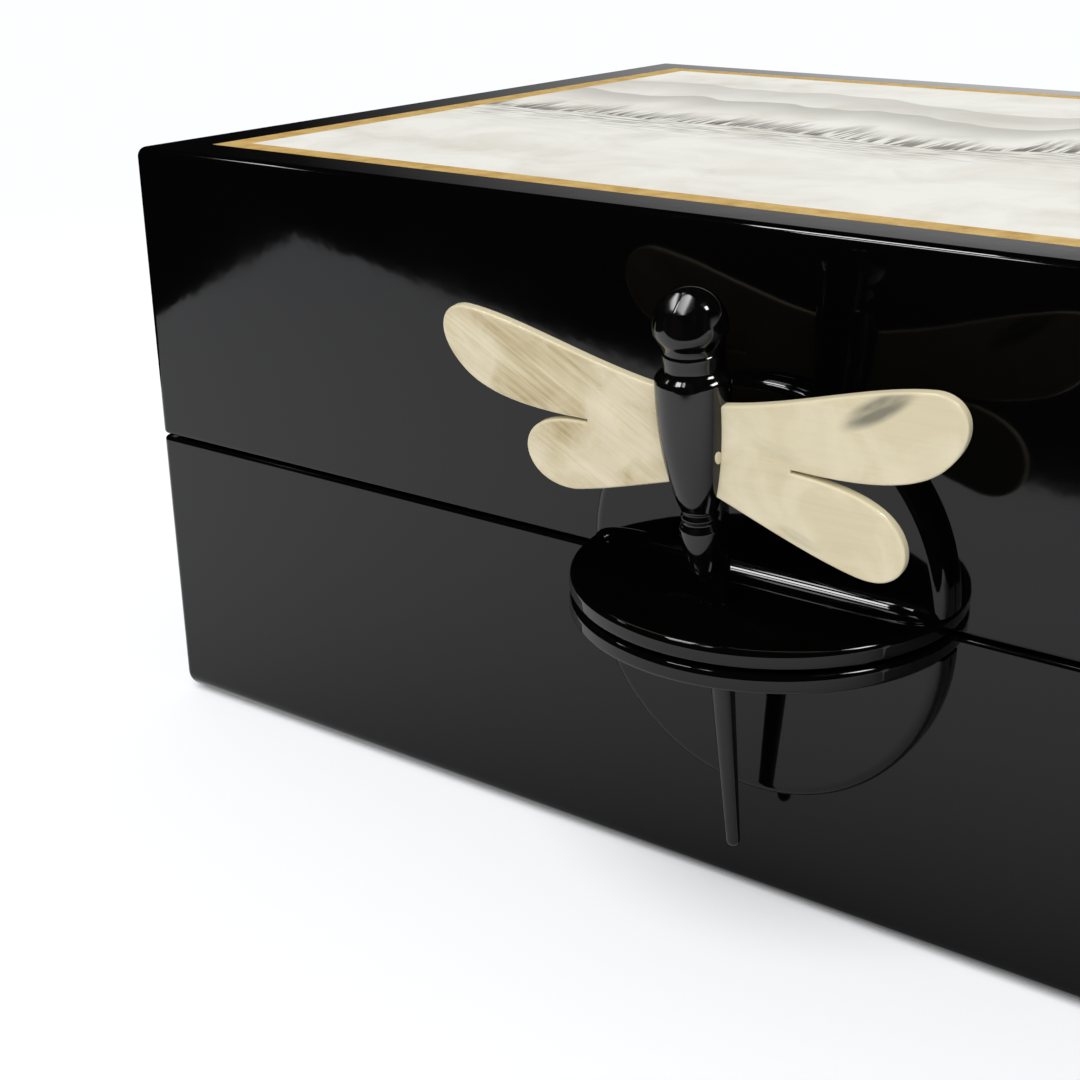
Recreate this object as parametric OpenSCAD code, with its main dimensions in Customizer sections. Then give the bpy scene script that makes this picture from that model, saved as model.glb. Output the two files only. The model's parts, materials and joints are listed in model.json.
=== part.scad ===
// Black lacquer box with a hinged lid and a dragonfly pin clasp.
// Millimetres. Origin: middle of the footprint on the table. +X runs along the front to the right,
// +Y to the back, +Z up. The clasp is on the front face, the hinges are on the back face.

/* [Box] */
// Outside width, along the front
box_w = 294; // [220:1:360]
// Outside depth, front to back
box_d = 196; // [150:1:260]
// Height of the closed box
box_h = 120; // [112:1:160]
// Height of the seam between base and lid
seam_h = 60; // [54:0.5:64]
// Gap between base and lid at the seam
seam_gap = 0.6; // [0.4:0.1:1.2]
// Thickness of the lacquered walls
wall_t = 11; // [9:0.5:14]
// Rounding of the four upright corners
corner_r = 2; // [1:0.5:6]
// Rounding of the lid's upper edge
top_r = 2; // [1:0.2:5]
// Rounding of the base's lower edge
foot_r = 4; // [1:0.5:6]
// Rounding of the two lips that meet at the seam
lip_r = 0.8; // [0.6:0.2:3]

/* [Base floor] */
// Thickness of the felt under the base
felt_t = 1.5; // [1:0.1:3]
// How far the felt stands below the walls
felt_proud = 0.5; // [0.2:0.1:0.9]
// Gap between the felt and the walls
felt_inset = 0.5; // [0.2:0.1:4]
// Thickness of the bottom board
floor_t = 6; // [4:0.5:9]
// Thickness of the suede on the bottom board and under the lid
lining_t = 1.2; // [0.8:0.1:2]

/* [Liners] */
// Thickness of the suede-covered boards that stand inside the base
liner_t = 3; // [2:0.5:5]
// How far these boards rise above the seam, to guide the lid
liner_rise = 5; // [3:0.5:8]
// Gap between the raised lip and the lid's walls
liner_gap = 0.8; // [0.5:0.1:1.5]
// Thickness of the suede-covered boards inside the lid
lid_liner_t = 2; // [1.5:0.5:4]
// Gap between the raised lip and the boards inside the lid
lid_liner_lift = 1.5; // [1:0.5:4]

/* [Lid top] */
// Thickness of the lid's top board
lid_board_t = 6; // [4:0.5:9]
// Thickness of the picture panel and the gold strips
panel_t = 2; // [1.5:0.5:4]
// Width of the gold strips round the panel
gold_w = 5.5; // [3:0.5:12]

/* [Clasp brackets] */
// Radius of the half-round back plates
plate_r = 33; // [26:0.5:38]
// Thickness of the back plates
plate_t = 4; // [3:0.5:6]
// Radius of the half-round shelves
shelf_r = 33; // [28:0.5:40]
// Thickness of each shelf
shelf_t = 3.3; // [2.8:0.1:5]
// Rounding of the plates' and shelves' edges
rim_r = 1; // [0.4:0.1:1.4]
// Sideways place of the bracket screws
clasp_screw_x = 14; // [10:1:18]
// Distance of the bracket screws from the shelves
clasp_screw_up = 12; // [8:1:16]
// Radius of the bracket screws
clasp_screw_r = 1.5; // [1:0.1:2]
// How far the bracket screws go into the plates
clasp_screw_grip = 2.6; // [2:0.1:2.8]

/* [Dragonfly pin] */
// Distance of the pin from the box front, at the top of the upper shelf
pin_out = 16.5; // [12:0.5:20]
// Lean of the pin, with its top away from the box
pin_lean = 9; // [0:0.5:10]
// Radius of the pin where it runs in the upper shelf
pin_r = 2.2; // [1.8:0.1:2.6]
// Radius of the pin at its lower tip
tip_r = 1.2; // [0.8:0.1:1.6]
// Radius of the pin's upper end, behind the head
pin_top_r = 3.9; // [3:0.1:4.2]
// Length of the tail below the top of the upper shelf
tail_len = 49; // [36:1:54]
// Length of the pin above the upper shelf
stem_len = 52; // [46:1:56]
// Radial clearance of the pin in the upper shelf
pin_fit = 0.08; // [0.04:0.01:0.1]
// Clearance round the pin in the lower shelf
slot_fit = 0.4; // [0.3:0.1:0.8]
// Extra length of the lower slot towards the box, for the tail's swing as the lid opens
slot_run = 3.2; // [2.8:0.1:4]

/* [Dragonfly body and wings] */
// Distance of the carved body's middle in front of the pin's
body_out = 3.2; // [2.8:0.1:3.6]
// Largest radius of the body, at its shoulders
shoulder_r = 5.4; // [5:0.05:5.45]
// Radius of the head
head_r = 5.2; // [4.4:0.05:5.4]
// Radius of the waist
waist_r = 2.45; // [2.1:0.05:2.6]
// Radius of the two eyes
eye_r = 2.1; // [1.6:0.1:2.4]
// Thickness of the wing sheets
wing_t = 1.8; // [1.2:0.1:2.2]
// Height of each wing's tenon along the body
tenon_h = 7; // [5:0.5:9]
// Gap between each tenon and its slot
tenon_fit = 0.05; // [0.02:0.01:0.15]

/* [Hinges] */
// Distance of each hinge's middle from the side of the box
hinge_inset = 60; // [45:1:80]
// Length of a hinge along the back
leaf_len = 34; // [28:1:44]
// Width of a leaf on the wall's edge
leaf_w = 8.5; // [7:0.5:8.5]
// Thickness of a leaf
leaf_t = 1.2; // [1:0.1:1.6]
// Outside radius of the knuckles
knuckle_r = 2.2; // [2:0.1:2.8]
// Radius of the hinge pins
hinge_pin_r = 1.1; // [0.8:0.1:1.2]
// Gap between neighbouring knuckles, and round them
knuckle_gap = 0.25; // [0.2:0.05:0.4]
// Gap between the knuckles and the back of the box
knuckle_stand = 0.3; // [0.3:0.1:1]
// Radial clearance of the hinge pin in the lid's knuckle
hinge_fit = 0.05; // [0.02:0.01:0.1]
// Shank radius of the hinge screws
leaf_screw_r = 1; // [0.8:0.1:1.2]
// Length of the hinge screws
leaf_screw_len = 10; // [8:1:14]

/* [Hidden] */
$fn = 96;

// Colours
black_lacquer = "#0d0d10";
black_horn = "#141214";
pale_horn = "#e3d9bd";
gold_leaf = "#c8a35a";
ivory_ground = "#dcdad5";
grey_suede = "#4a4546";
black_felt = "#1d1d1f";
brass = "#b8924a";

// Overcut of the cutting shapes, which leaves no thin skin behind
over = 1;
// Radial gap of a glued or screwed part in its hole
glue_gap = 0.02;
// A countersunk head, as multiples of the shank's radius
head_ratio = 2;

// Levels
wall_z = felt_proud;
base_top = seam_h - seam_gap / 2;
lid_bottom = seam_h + seam_gap / 2;
floor_top = felt_t + floor_t;
panel_z = box_h - panel_t;
board_z = panel_z - lid_board_t;
lining_z = board_z - lining_t;
lip_top = base_top + liner_rise;
lid_liner_z = lip_top + lid_liner_lift;

// Inside of the walls
room_w = box_w - 2 * wall_t;
room_d = box_d - 2 * wall_t;
front_y = -box_d / 2;

// Clasp
upper_shelf_z = lid_bottom + shelf_t;
lower_shelf_z = base_top - shelf_t;

// Hinges
hinge_y = box_d / 2 + knuckle_r + knuckle_stand;
hinge_x = box_w / 2 - hinge_inset;
leaf_back_y = box_d / 2 - leaf_w;
knuckle_len = (leaf_len - 2 * knuckle_gap) / 3;
leaf_screw_x = leaf_len / 3;
leaf_screw_y = box_d / 2 - leaf_w / 2;

// A quarter of a square left outside a quarter circle, to round one corner of a profile
module corner_cut(r) {
    difference() {
        translate([-over, -over]) square(r + over);
        translate([r, r]) circle(r);
    }
}

// Upright section of a wall: outer face at x = 0, rounded on its two outer edges
module wall_profile(height, low_r, high_r) {
    difference() {
        square([wall_t, height]);
        corner_cut(low_r);
        translate([0, height]) mirror([0, 1]) corner_cut(high_r);
    }
}

// Upright prism of the box outline, with round corners
module outline_prism(width, depth) {
    translate([-width / 2 + corner_r, -depth / 2, -over])
        cube([width - 2 * corner_r, depth, box_h + 2 * over]);
    translate([-width / 2, -depth / 2 + corner_r, -over])
        cube([width, depth - 2 * corner_r, box_h + 2 * over]);
    for (sx = [-1, 1], sy = [-1, 1])
        translate([sx * (width / 2 - corner_r), sy * (depth / 2 - corner_r), -over])
            cylinder(r = corner_r, h = box_h + 2 * over);
}

// A bar along the front, mitred at both ends: outer edge at distance out from the middle
module mitred_bar(length, out, thick, z0, z1) {
    translate([0, 0, z0]) linear_extrude(z1 - z0) polygon([
        [-length / 2, -out], [length / 2, -out],
        [length / 2 - thick, -out + thick], [-length / 2 + thick, -out + thick]
    ]);
}

// A wall in the front's place, with mitred ends
module wall(length, out, z0, z1, low_r, high_r) {
    intersection() {
        translate([-length / 2, -out, z0]) rotate([90, 0, 90])
            linear_extrude(length) wall_profile(z1 - z0, low_r, high_r);
        outline_prism(length, 2 * out);
        mitred_bar(length + 2 * over, out + over, wall_t + over, z0 - over, z1 + over);
    }
}

module base_wall(length, out) {
    wall(length, out, wall_z, base_top, foot_r, lip_r);
}

module lid_wall(length, out) {
    wall(length, out, lid_bottom, box_h, lip_r, top_r);
}

// A liner board inside the base, in the front's place, with a set-back lip above the seam
module base_liner(length, out) {
    mitred_bar(length, out, liner_t, floor_top, base_top);
    mitred_bar(length - 2 * liner_gap, out - liner_gap, liner_t - liner_gap, base_top, lip_top);
}

module lid_liner(length, out) {
    mitred_bar(length, out, lid_liner_t, lid_liner_z, board_z);
}

module gold_strip(length, out) {
    mitred_bar(length, out, gold_w, panel_z, box_h);
}

// A countersunk screw along +Z, its head's flat face at z = 0 and its shank above
module screw(r, length, grow = 0) {
    cylinder(r1 = head_ratio * r + grow, r2 = r + grow, h = r);
    cylinder(r = r + grow, h = length + grow);
}

// Both bracket screws of one half, driven from inside the front wall at height z
module clasp_screws(z, grow = 0) {
    for (side = [-1, 1])
        translate([side * clasp_screw_x, front_y + wall_t, z]) rotate([90, 0, 0])
            screw(clasp_screw_r, wall_t + clasp_screw_grip, grow);
}

module upper_clasp_screws(grow = 0) {
    clasp_screws(upper_shelf_z + clasp_screw_up, grow);
}

module lower_clasp_screws(grow = 0) {
    clasp_screws(lower_shelf_z - clasp_screw_up, grow);
}

// Disc with a rounded rim
module rimmed_disc(r, thick) {
    rotate_extrude() {
        square([r - rim_r, thick]);
        translate([0, rim_r]) square([r, thick - 2 * rim_r]);
        for (z = [rim_r, thick - rim_r])
            translate([r - rim_r, z]) circle(rim_r);
    }
}

// Half-round shelf in front of the box, its underside at height z
module shelf(z) {
    difference() {
        translate([0, front_y, z]) rimmed_disc(shelf_r, shelf_t);
        translate([-shelf_r - over, front_y, z - over])
            cube([2 * (shelf_r + over), shelf_r + over, shelf_t + 2 * over]);
    }
}

// Half-round back plate on the box front, standing up from height z
module back_plate(z) {
    difference() {
        translate([0, front_y, z]) rotate([90, 0, 0]) rimmed_disc(plate_r, plate_t);
        translate([-plate_r - over, front_y - plate_t - over, z - plate_r - over])
            cube([2 * (plate_r + over), plate_t + 2 * over, plate_r + over]);
    }
}

// The pin's frame: origin where its axis crosses the top of the upper shelf, +Z up along the pin
module on_pin() {
    translate([0, front_y - pin_out, upper_shelf_z]) rotate([pin_lean, 0, 0]) children();
}

// Hole for the pin along its own axis
module pin_hole(r) {
    translate([0, 0, -tail_len]) cylinder(r = r, h = tail_len + shelf_t);
}

// Turned tapered pin: rounded tip, tapered tail, a straight stretch in the shelf, a widening stem
module pin_solid() {
    straight = 2 * shelf_t;
    rotate_extrude() polygon(concat(
        [[0, -tail_len]],
        [for (a = [0:15:75]) [tip_r * sin(a), -tail_len + tip_r * (1 - cos(a))]],
        [[tip_r, -tail_len + tip_r], [pin_r, -straight], [pin_r, pin_fit]],
        [[pin_top_r, stem_len - pin_top_r]],
        [for (a = [15:15:90]) [pin_top_r * cos(a), stem_len - pin_top_r + pin_top_r * sin(a)]]
    ));
}

// Heights along the pin of the body's swells and coves, with their radii
tail_bulb = [14.2, 2.85];
tail_groove = [16, 2.4];
bead = [17, 2.75];
waist = [18.1, waist_r];
shoulder = [38.4, shoulder_r];
neck = [42.4, 4.2];
head = [47.4, head_r];
head_top = 53.2;
tail_end = 6.9;
lower_stations = [tail_bulb, tail_groove, bead, waist];
upper_stations = [shoulder, neck, head];

// Half a cosine wave from station a to station b, so that each station is a crest or a hollow
function swell(a, b, n) = [for (i = [0:n - 1])
    let (t = i / n) [a[1] + (b[1] - a[1]) * (1 - cos(180 * t)) / 2, a[0] + (b[0] - a[0]) * t]];

// Such waves through a row of stations, without the last one
function swells(row, n) = [for (i = [0:len(row) - 2]) each swell(row[i], row[i + 1], n)];

// Quarter of a sine wave from station a, which widens quickly at first, to the crest at station b
function taper(a, b, n) = [for (i = [0:n - 1])
    let (t = i / n) [a[1] + (b[1] - a[1]) * sin(90 * t), a[0] + (b[0] - a[0]) * t]];

// Quarter ellipse that closes the body at height z_end beyond a station
function cap(st, z_end, angles) = [for (a = angles) [st[1] * cos(a), st[0] + (z_end - st[0]) * sin(a)]];

// Turned outline of the body: lower tip, swells and coves, round head
module turned_body() {
    steps = 8;
    rotate_extrude() polygon(concat(
        [[0, tail_end]],
        cap(tail_bulb, tail_end, [80:-16:16]),
        swells(lower_stations, steps),
        taper(waist, shoulder, steps),
        swells(upper_stations, steps),
        cap(head, head_top, [0:15:75]),
        [[0, head_top]]
    ));
}

// Wing outlines in the pin's frame, on +X: [distance from the middle, height along the pin].
// Every third point lies on the outline and the two between shape the curve.
left_upper_lobe = [
    [17, 38.8], [31, 44.6], [40.7, 45.2],
    [45.8, 45.4], [48, 39.6], [42.2, 34.2],
    [38.2, 30.5], [30, 29.3], [19, 29.6]
];
left_lower_lobe = [
    [25.2, 29.2], [30.6, 27.8], [31.4, 23.2],
    [31.8, 18.6], [27.2, 16], [22.2, 16.8],
    [16, 18.1], [9.5, 20.4], [4.2, 22]
];
right_upper_lobe = [
    [16, 37.6], [29, 43.4], [38.5, 44.1],
    [43.6, 44.4], [45.9, 38.6], [40, 32.8],
    [36, 28.9], [28, 27.6], [16.4, 28.2]
];
right_lower_lobe = [
    [25, 27.2], [32.3, 25.6], [34, 19.9],
    [35.2, 15.8], [32.4, 11.8], [26.8, 12.8],
    [20, 14.1], [11.5, 17.9], [4.2, 20.9]
];
left_root_top = [5.8, 37.4];
right_root_top = [5.8, 36.3];
slit_drop = [0, -0.5];
tenon_z = 27;
tenon_inner_x = 2.7;

function bezier(p, t) = pow(1 - t, 3) * p[0] + 3 * t * pow(1 - t, 2) * p[1]
    + 3 * t * t * (1 - t) * p[2] + pow(t, 3) * p[3];

// Points along the curves of one lobe, starting after point p0
function lobe_points(p0, lobe, n) = [for (k = [0:3:len(lobe) - 3])
    let (from = k == 0 ? p0 : lobe[k - 1])
    for (i = [1:n]) bezier([from, lobe[k], lobe[k + 1], lobe[k + 2]], i / n)];

// Distance of a wing's root from the middle, at height z on the straight line from point a to point b
function root_x(a, b, z) = a[0] + (b[0] - a[0]) * (z - a[1]) / (b[1] - a[1]);

// Flat pair of wings on one side, upper and lower lobe in one sheet, with the tenon at its root
module wings(root_top, upper_lobe, lower_lobe) {
    steps = 10;
    slit_end = upper_lobe[len(upper_lobe) - 1] + slit_drop;
    root_low = lower_lobe[len(lower_lobe) - 1];
    tenon_low = tenon_z - tenon_h / 2;
    tenon_high = tenon_z + tenon_h / 2;
    translate([0, wing_t / 2 - body_out, 0]) rotate([90, 0, 0]) linear_extrude(wing_t) polygon(concat(
        [root_top],
        lobe_points(root_top, upper_lobe, steps),
        [slit_end],
        lobe_points(slit_end, lower_lobe, steps),
        [[root_x(root_top, root_low, tenon_low), tenon_low]],
        [[tenon_inner_x, tenon_low], [tenon_inner_x, tenon_high]],
        [[root_x(root_top, root_low, tenon_high), tenon_high]]
    ));
}

// Slots in the body for both tenons
module tenon_slots() {
    half = wing_t / 2 + tenon_fit;
    for (side = [-1, 1])
        translate([side > 0 ? tenon_inner_x - tenon_fit : -2 * shoulder_r,
            -body_out - half, tenon_z - tenon_h / 2 - tenon_fit])
            cube([2 * shoulder_r - tenon_inner_x + tenon_fit, 2 * half, tenon_h + 2 * tenon_fit]);
}

// Place of one of the two hinges: side -1 is left, side 1 is right
module at_hinge(side) {
    translate([side * hinge_x, 0, 0]) children();
}

// Cylinder on the hinge axis, between two places along it
module on_axis(x0, x1, r) {
    translate([x0, hinge_y, seam_h]) rotate([0, 90, 0]) cylinder(r = r, h = x1 - x0);
}

// Stretches of the knuckles along the hinge: two outer ones of the base, one middle one of the lid
outer_from = knuckle_len / 2 + knuckle_gap;
outer_to = leaf_len / 2;

// Flat of a leaf from the wall's edge out to the hinge axis, its underside at height z
module leaf_plate(z) {
    translate([-leaf_len / 2, leaf_back_y, z]) cube([leaf_len, hinge_y - leaf_back_y, leaf_t]);
}

module leaf_screws(z, up, grow = 0) {
    for (side = [-1, 1])
        translate([side * leaf_screw_x, leaf_screw_y, z]) rotate([up ? 0 : 180, 0, 0])
            screw(leaf_screw_r, leaf_screw_len, grow);
}

// Recess for a leaf in the edge of a back wall
module leaf_recess(z) {
    translate([-leaf_len / 2 - glue_gap, leaf_back_y - glue_gap, z])
        cube([leaf_len + 2 * glue_gap, leaf_w + over, leaf_t + over]);
}

module base_leaf() {
    color(brass) difference() {
        union() {
            difference() {
                leaf_plate(base_top - leaf_t);
                on_axis(-outer_from, outer_from, knuckle_r + knuckle_gap);
            }
            on_axis(-outer_to, -outer_from, knuckle_r);
            on_axis(outer_from, outer_to, knuckle_r);
        }
        on_axis(-leaf_len, leaf_len, hinge_pin_r + glue_gap);
        leaf_screws(base_top, false, glue_gap);
    }
}

module lid_leaf() {
    color(brass) difference() {
        union() {
            difference() {
                leaf_plate(lid_bottom);
                on_axis(-leaf_len, -knuckle_len / 2, knuckle_r + knuckle_gap);
                on_axis(knuckle_len / 2, leaf_len, knuckle_r + knuckle_gap);
            }
            on_axis(-knuckle_len / 2, knuckle_len / 2, knuckle_r);
        }
        on_axis(-leaf_len, leaf_len, hinge_pin_r + hinge_fit);
        leaf_screws(lid_bottom, true, glue_gap);
    }
}

module hinge_pin() {
    color(brass) on_axis(-leaf_len / 2, leaf_len / 2, hinge_pin_r);
}

// Base
module base_front_wall() {
    color(black_lacquer) difference() {
        base_wall(box_w, box_d / 2);
        lower_clasp_screws(glue_gap);
    }
}

module base_back_wall() {
    color(black_lacquer) difference() {
        rotate([0, 0, 180]) base_wall(box_w, box_d / 2);
        for (side = [-1, 1]) at_hinge(side) {
            leaf_recess(base_top - leaf_t);
            leaf_screws(base_top, false, glue_gap);
        }
    }
}

module base_left_wall() {
    color(black_lacquer) rotate([0, 0, -90]) base_wall(box_d, box_w / 2);
}

module base_right_wall() {
    color(black_lacquer) rotate([0, 0, 90]) base_wall(box_d, box_w / 2);
}

module base_bottom_board() {
    color(black_lacquer) translate([-room_w / 2, -room_d / 2, felt_t]) cube([room_w, room_d, floor_t]);
}

module underside_felt() {
    felt_w = room_w - 2 * felt_inset;
    felt_d = room_d - 2 * felt_inset;
    color(black_felt) translate([-felt_w / 2, -felt_d / 2, 0]) cube([felt_w, felt_d, felt_t]);
}

module base_floor_lining() {
    lining_w = room_w - 2 * liner_t;
    lining_d = room_d - 2 * liner_t;
    color(grey_suede) translate([-lining_w / 2, -lining_d / 2, floor_top])
        cube([lining_w, lining_d, lining_t]);
}

module base_liner_front() {
    color(grey_suede) base_liner(room_w, room_d / 2);
}

module base_liner_back() {
    color(grey_suede) rotate([0, 0, 180]) base_liner(room_w, room_d / 2);
}

module base_liner_left() {
    color(grey_suede) rotate([0, 0, -90]) base_liner(room_d, room_w / 2);
}

module base_liner_right() {
    color(grey_suede) rotate([0, 0, 90]) base_liner(room_d, room_w / 2);
}

// The lower shelf has a slot along the pin, drawn out towards the box
module lower_shelf() {
    slot_r = pin_r + slot_fit;
    color(black_lacquer) difference() {
        shelf(lower_shelf_z);
        on_pin() {
            pin_hole(slot_r);
            translate([0, slot_run, 0]) pin_hole(slot_r);
            translate([-slot_r, 0, -tail_len]) cube([2 * slot_r, slot_run, tail_len + shelf_t]);
        }
    }
}

module lower_back_plate() {
    color(black_lacquer) difference() {
        translate([0, 0, 2 * lower_shelf_z]) mirror([0, 0, 1]) back_plate(lower_shelf_z);
        lower_clasp_screws(glue_gap);
    }
}

module base_clasp_screws() {
    color(brass) lower_clasp_screws();
}

module hinge_base_screws() {
    color(brass) for (side = [-1, 1]) at_hinge(side) leaf_screws(base_top, false);
}

// Lid
module lid_front_wall() {
    color(black_lacquer) difference() {
        lid_wall(box_w, box_d / 2);
        upper_clasp_screws(glue_gap);
    }
}

module lid_back_wall() {
    color(black_lacquer) difference() {
        rotate([0, 0, 180]) lid_wall(box_w, box_d / 2);
        for (side = [-1, 1]) at_hinge(side) {
            leaf_recess(lid_bottom - over);
            leaf_screws(lid_bottom, true, glue_gap);
        }
    }
}

module lid_left_wall() {
    color(black_lacquer) rotate([0, 0, -90]) lid_wall(box_d, box_w / 2);
}

module lid_right_wall() {
    color(black_lacquer) rotate([0, 0, 90]) lid_wall(box_d, box_w / 2);
}

module lid_top_board() {
    color(black_lacquer) translate([-room_w / 2, -room_d / 2, board_z]) cube([room_w, room_d, lid_board_t]);
}

module picture_panel() {
    panel_w = room_w - 2 * gold_w;
    panel_d = room_d - 2 * gold_w;
    color(ivory_ground) translate([-panel_w / 2, -panel_d / 2, panel_z]) cube([panel_w, panel_d, panel_t]);
}

module gold_strip_front() {
    color(gold_leaf) gold_strip(room_w, room_d / 2);
}

module gold_strip_back() {
    color(gold_leaf) rotate([0, 0, 180]) gold_strip(room_w, room_d / 2);
}

module gold_strip_left() {
    color(gold_leaf) rotate([0, 0, -90]) gold_strip(room_d, room_w / 2);
}

module gold_strip_right() {
    color(gold_leaf) rotate([0, 0, 90]) gold_strip(room_d, room_w / 2);
}

module lid_lining() {
    lining_w = room_w - 2 * lid_liner_t;
    lining_d = room_d - 2 * lid_liner_t;
    color(grey_suede) translate([-lining_w / 2, -lining_d / 2, lining_z])
        cube([lining_w, lining_d, lining_t]);
}

module lid_liner_front() {
    color(grey_suede) lid_liner(room_w, room_d / 2);
}

module lid_liner_back() {
    color(grey_suede) rotate([0, 0, 180]) lid_liner(room_w, room_d / 2);
}

module lid_liner_left() {
    color(grey_suede) rotate([0, 0, -90]) lid_liner(room_d, room_w / 2);
}

module lid_liner_right() {
    color(grey_suede) rotate([0, 0, 90]) lid_liner(room_d, room_w / 2);
}

// The upper shelf is bored along the pin, which runs in it
module upper_shelf() {
    color(black_lacquer) difference() {
        shelf(lid_bottom);
        on_pin() pin_hole(pin_r + pin_fit);
    }
}

module upper_back_plate() {
    color(black_lacquer) difference() {
        back_plate(upper_shelf_z);
        upper_clasp_screws(glue_gap);
    }
}

module lid_clasp_screws() {
    color(brass) upper_clasp_screws();
}

module hinge_lid_screws() {
    color(brass) for (side = [-1, 1]) at_hinge(side) leaf_screws(lid_bottom, true);
}

// Dragonfly
module dragonfly_pin() {
    color(black_horn) on_pin() pin_solid();
}

// Carved body on the front of the pin, with two eyes and a slot on each side for the wings
module dragonfly_body() {
    eye_x = 0.44 * head_r;
    eye_z = (head[0] + head_top) / 2;
    color(black_horn) on_pin() difference() {
        translate([0, -body_out, 0]) {
            turned_body();
            for (side = [-1, 1])
                translate([side * eye_x, -eye_x, eye_z]) sphere(eye_r);
        }
        pin_solid();
        tenon_slots();
    }
}

module dragonfly_left_wings() {
    color(pale_horn) on_pin() mirror([1, 0, 0])
        wings(left_root_top, left_upper_lobe, left_lower_lobe);
}

module dragonfly_right_wings() {
    color(pale_horn) on_pin()
        wings(right_root_top, right_upper_lobe, right_lower_lobe);
}

base_front_wall();
base_back_wall();
base_left_wall();
base_right_wall();
base_bottom_board();
underside_felt();
base_floor_lining();
base_liner_front();
base_liner_back();
base_liner_left();
base_liner_right();
lower_shelf();
lower_back_plate();
base_clasp_screws();
at_hinge(-1) base_leaf();  // hinge_base_leaf_left
at_hinge(1) base_leaf();  // hinge_base_leaf_right
at_hinge(-1) hinge_pin();  // hinge_pin_left
at_hinge(1) hinge_pin();  // hinge_pin_right
hinge_base_screws();
lid_front_wall();
lid_back_wall();
lid_left_wall();
lid_right_wall();
lid_top_board();
picture_panel();
gold_strip_front();
gold_strip_back();
gold_strip_left();
gold_strip_right();
lid_lining();
lid_liner_front();
lid_liner_back();
lid_liner_left();
lid_liner_right();
upper_shelf();
upper_back_plate();
lid_clasp_screws();
at_hinge(-1) lid_leaf();  // hinge_lid_leaf_left
at_hinge(1) lid_leaf();  // hinge_lid_leaf_right
hinge_lid_screws();
dragonfly_pin();
dragonfly_body();
dragonfly_left_wings();
dragonfly_right_wings();
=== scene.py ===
"""Lacquer box with a dragonfly pin clasp: finished surfaces, materials and a studio round the packed model."""

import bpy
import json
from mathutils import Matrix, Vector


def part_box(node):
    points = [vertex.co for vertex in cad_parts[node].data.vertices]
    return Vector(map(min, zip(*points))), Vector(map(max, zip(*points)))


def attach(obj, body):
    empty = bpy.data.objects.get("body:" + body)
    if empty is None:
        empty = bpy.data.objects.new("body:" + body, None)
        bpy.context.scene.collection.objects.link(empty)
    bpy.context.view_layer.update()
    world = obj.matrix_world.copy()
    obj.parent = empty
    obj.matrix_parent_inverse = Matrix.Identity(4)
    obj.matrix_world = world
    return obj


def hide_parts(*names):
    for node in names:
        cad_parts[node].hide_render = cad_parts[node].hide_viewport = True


bl_info = {
    "name": "Lacquer Box with Dragonfly Clasp",
    "version": (1, 0, 0),
    "blender": (4, 5, 0),
    "location": "View3D > Sidebar > Lacquer Box",
    "description": "Finished surfaces, materials and studio for the packed lacquer box",
    "category": "Add Mesh",
}

import json
import math
from functools import partial

import bmesh
import bpy
import numpy as np
from bpy.props import FloatProperty, FloatVectorProperty, PointerProperty
from mathutils import Matrix, Vector

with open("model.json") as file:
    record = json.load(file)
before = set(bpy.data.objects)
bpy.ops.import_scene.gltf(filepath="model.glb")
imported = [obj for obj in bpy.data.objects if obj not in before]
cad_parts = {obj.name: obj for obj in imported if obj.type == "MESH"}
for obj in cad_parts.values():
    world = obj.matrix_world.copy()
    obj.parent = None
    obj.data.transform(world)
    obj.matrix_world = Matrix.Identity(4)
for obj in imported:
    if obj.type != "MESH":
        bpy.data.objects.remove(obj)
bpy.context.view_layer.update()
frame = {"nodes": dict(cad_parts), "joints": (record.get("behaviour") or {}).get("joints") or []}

MM = 0.001
SIDES = "front", "back", "left", "right"


def corners(*nodes):
    """Lowest and highest corner, in metres, of the box round some CAD nodes."""
    boxes = np.array([[tuple(corner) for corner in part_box(node)] for node in nodes])
    return boxes[:, 0].min(axis=0), boxes[:, 1].max(axis=0)


def linear(hex_colour):
    """Linear RGBA of an sRGB hex colour, each channel decoded by the sRGB curve."""
    c = np.array([int(hex_colour[i:i + 2], 16) for i in (0, 2, 4)]) / 255
    c = np.where(c <= 0.04045, c / 12.92, ((c + 0.055) / 1.055) ** 2.4)
    return (*c.tolist(), 1.0)


def length(name, description, mm):
    """A length property, given in millimetres."""
    return FloatProperty(name=name, description=description, default=mm * MM, min=0.0,
                         precision=5, subtype="DISTANCE", unit="LENGTH")


def colour(name, description, hex_colour):
    """A colour property, given as an sRGB hex value."""
    return FloatVectorProperty(name=name, description=description, size=4, min=0.0, max=1.0,
                               default=linear(hex_colour), subtype="COLOR")


class ShellSettings(bpy.types.PropertyGroup):
    """Sizes of the lacquered lid and base."""
    wall: length("Wall", "Thickness of the lacquered walls", 11)
    corner: length("Corner", "Radius of the upright corners", 2)
    top: length("Top edge", "Radius of the lid's top edge", 2)
    foot: length("Foot edge", "Radius of the base's bottom edge", 4)
    lip: length("Seam edge", "Radius of both edges at the seam", 0.8)


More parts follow.
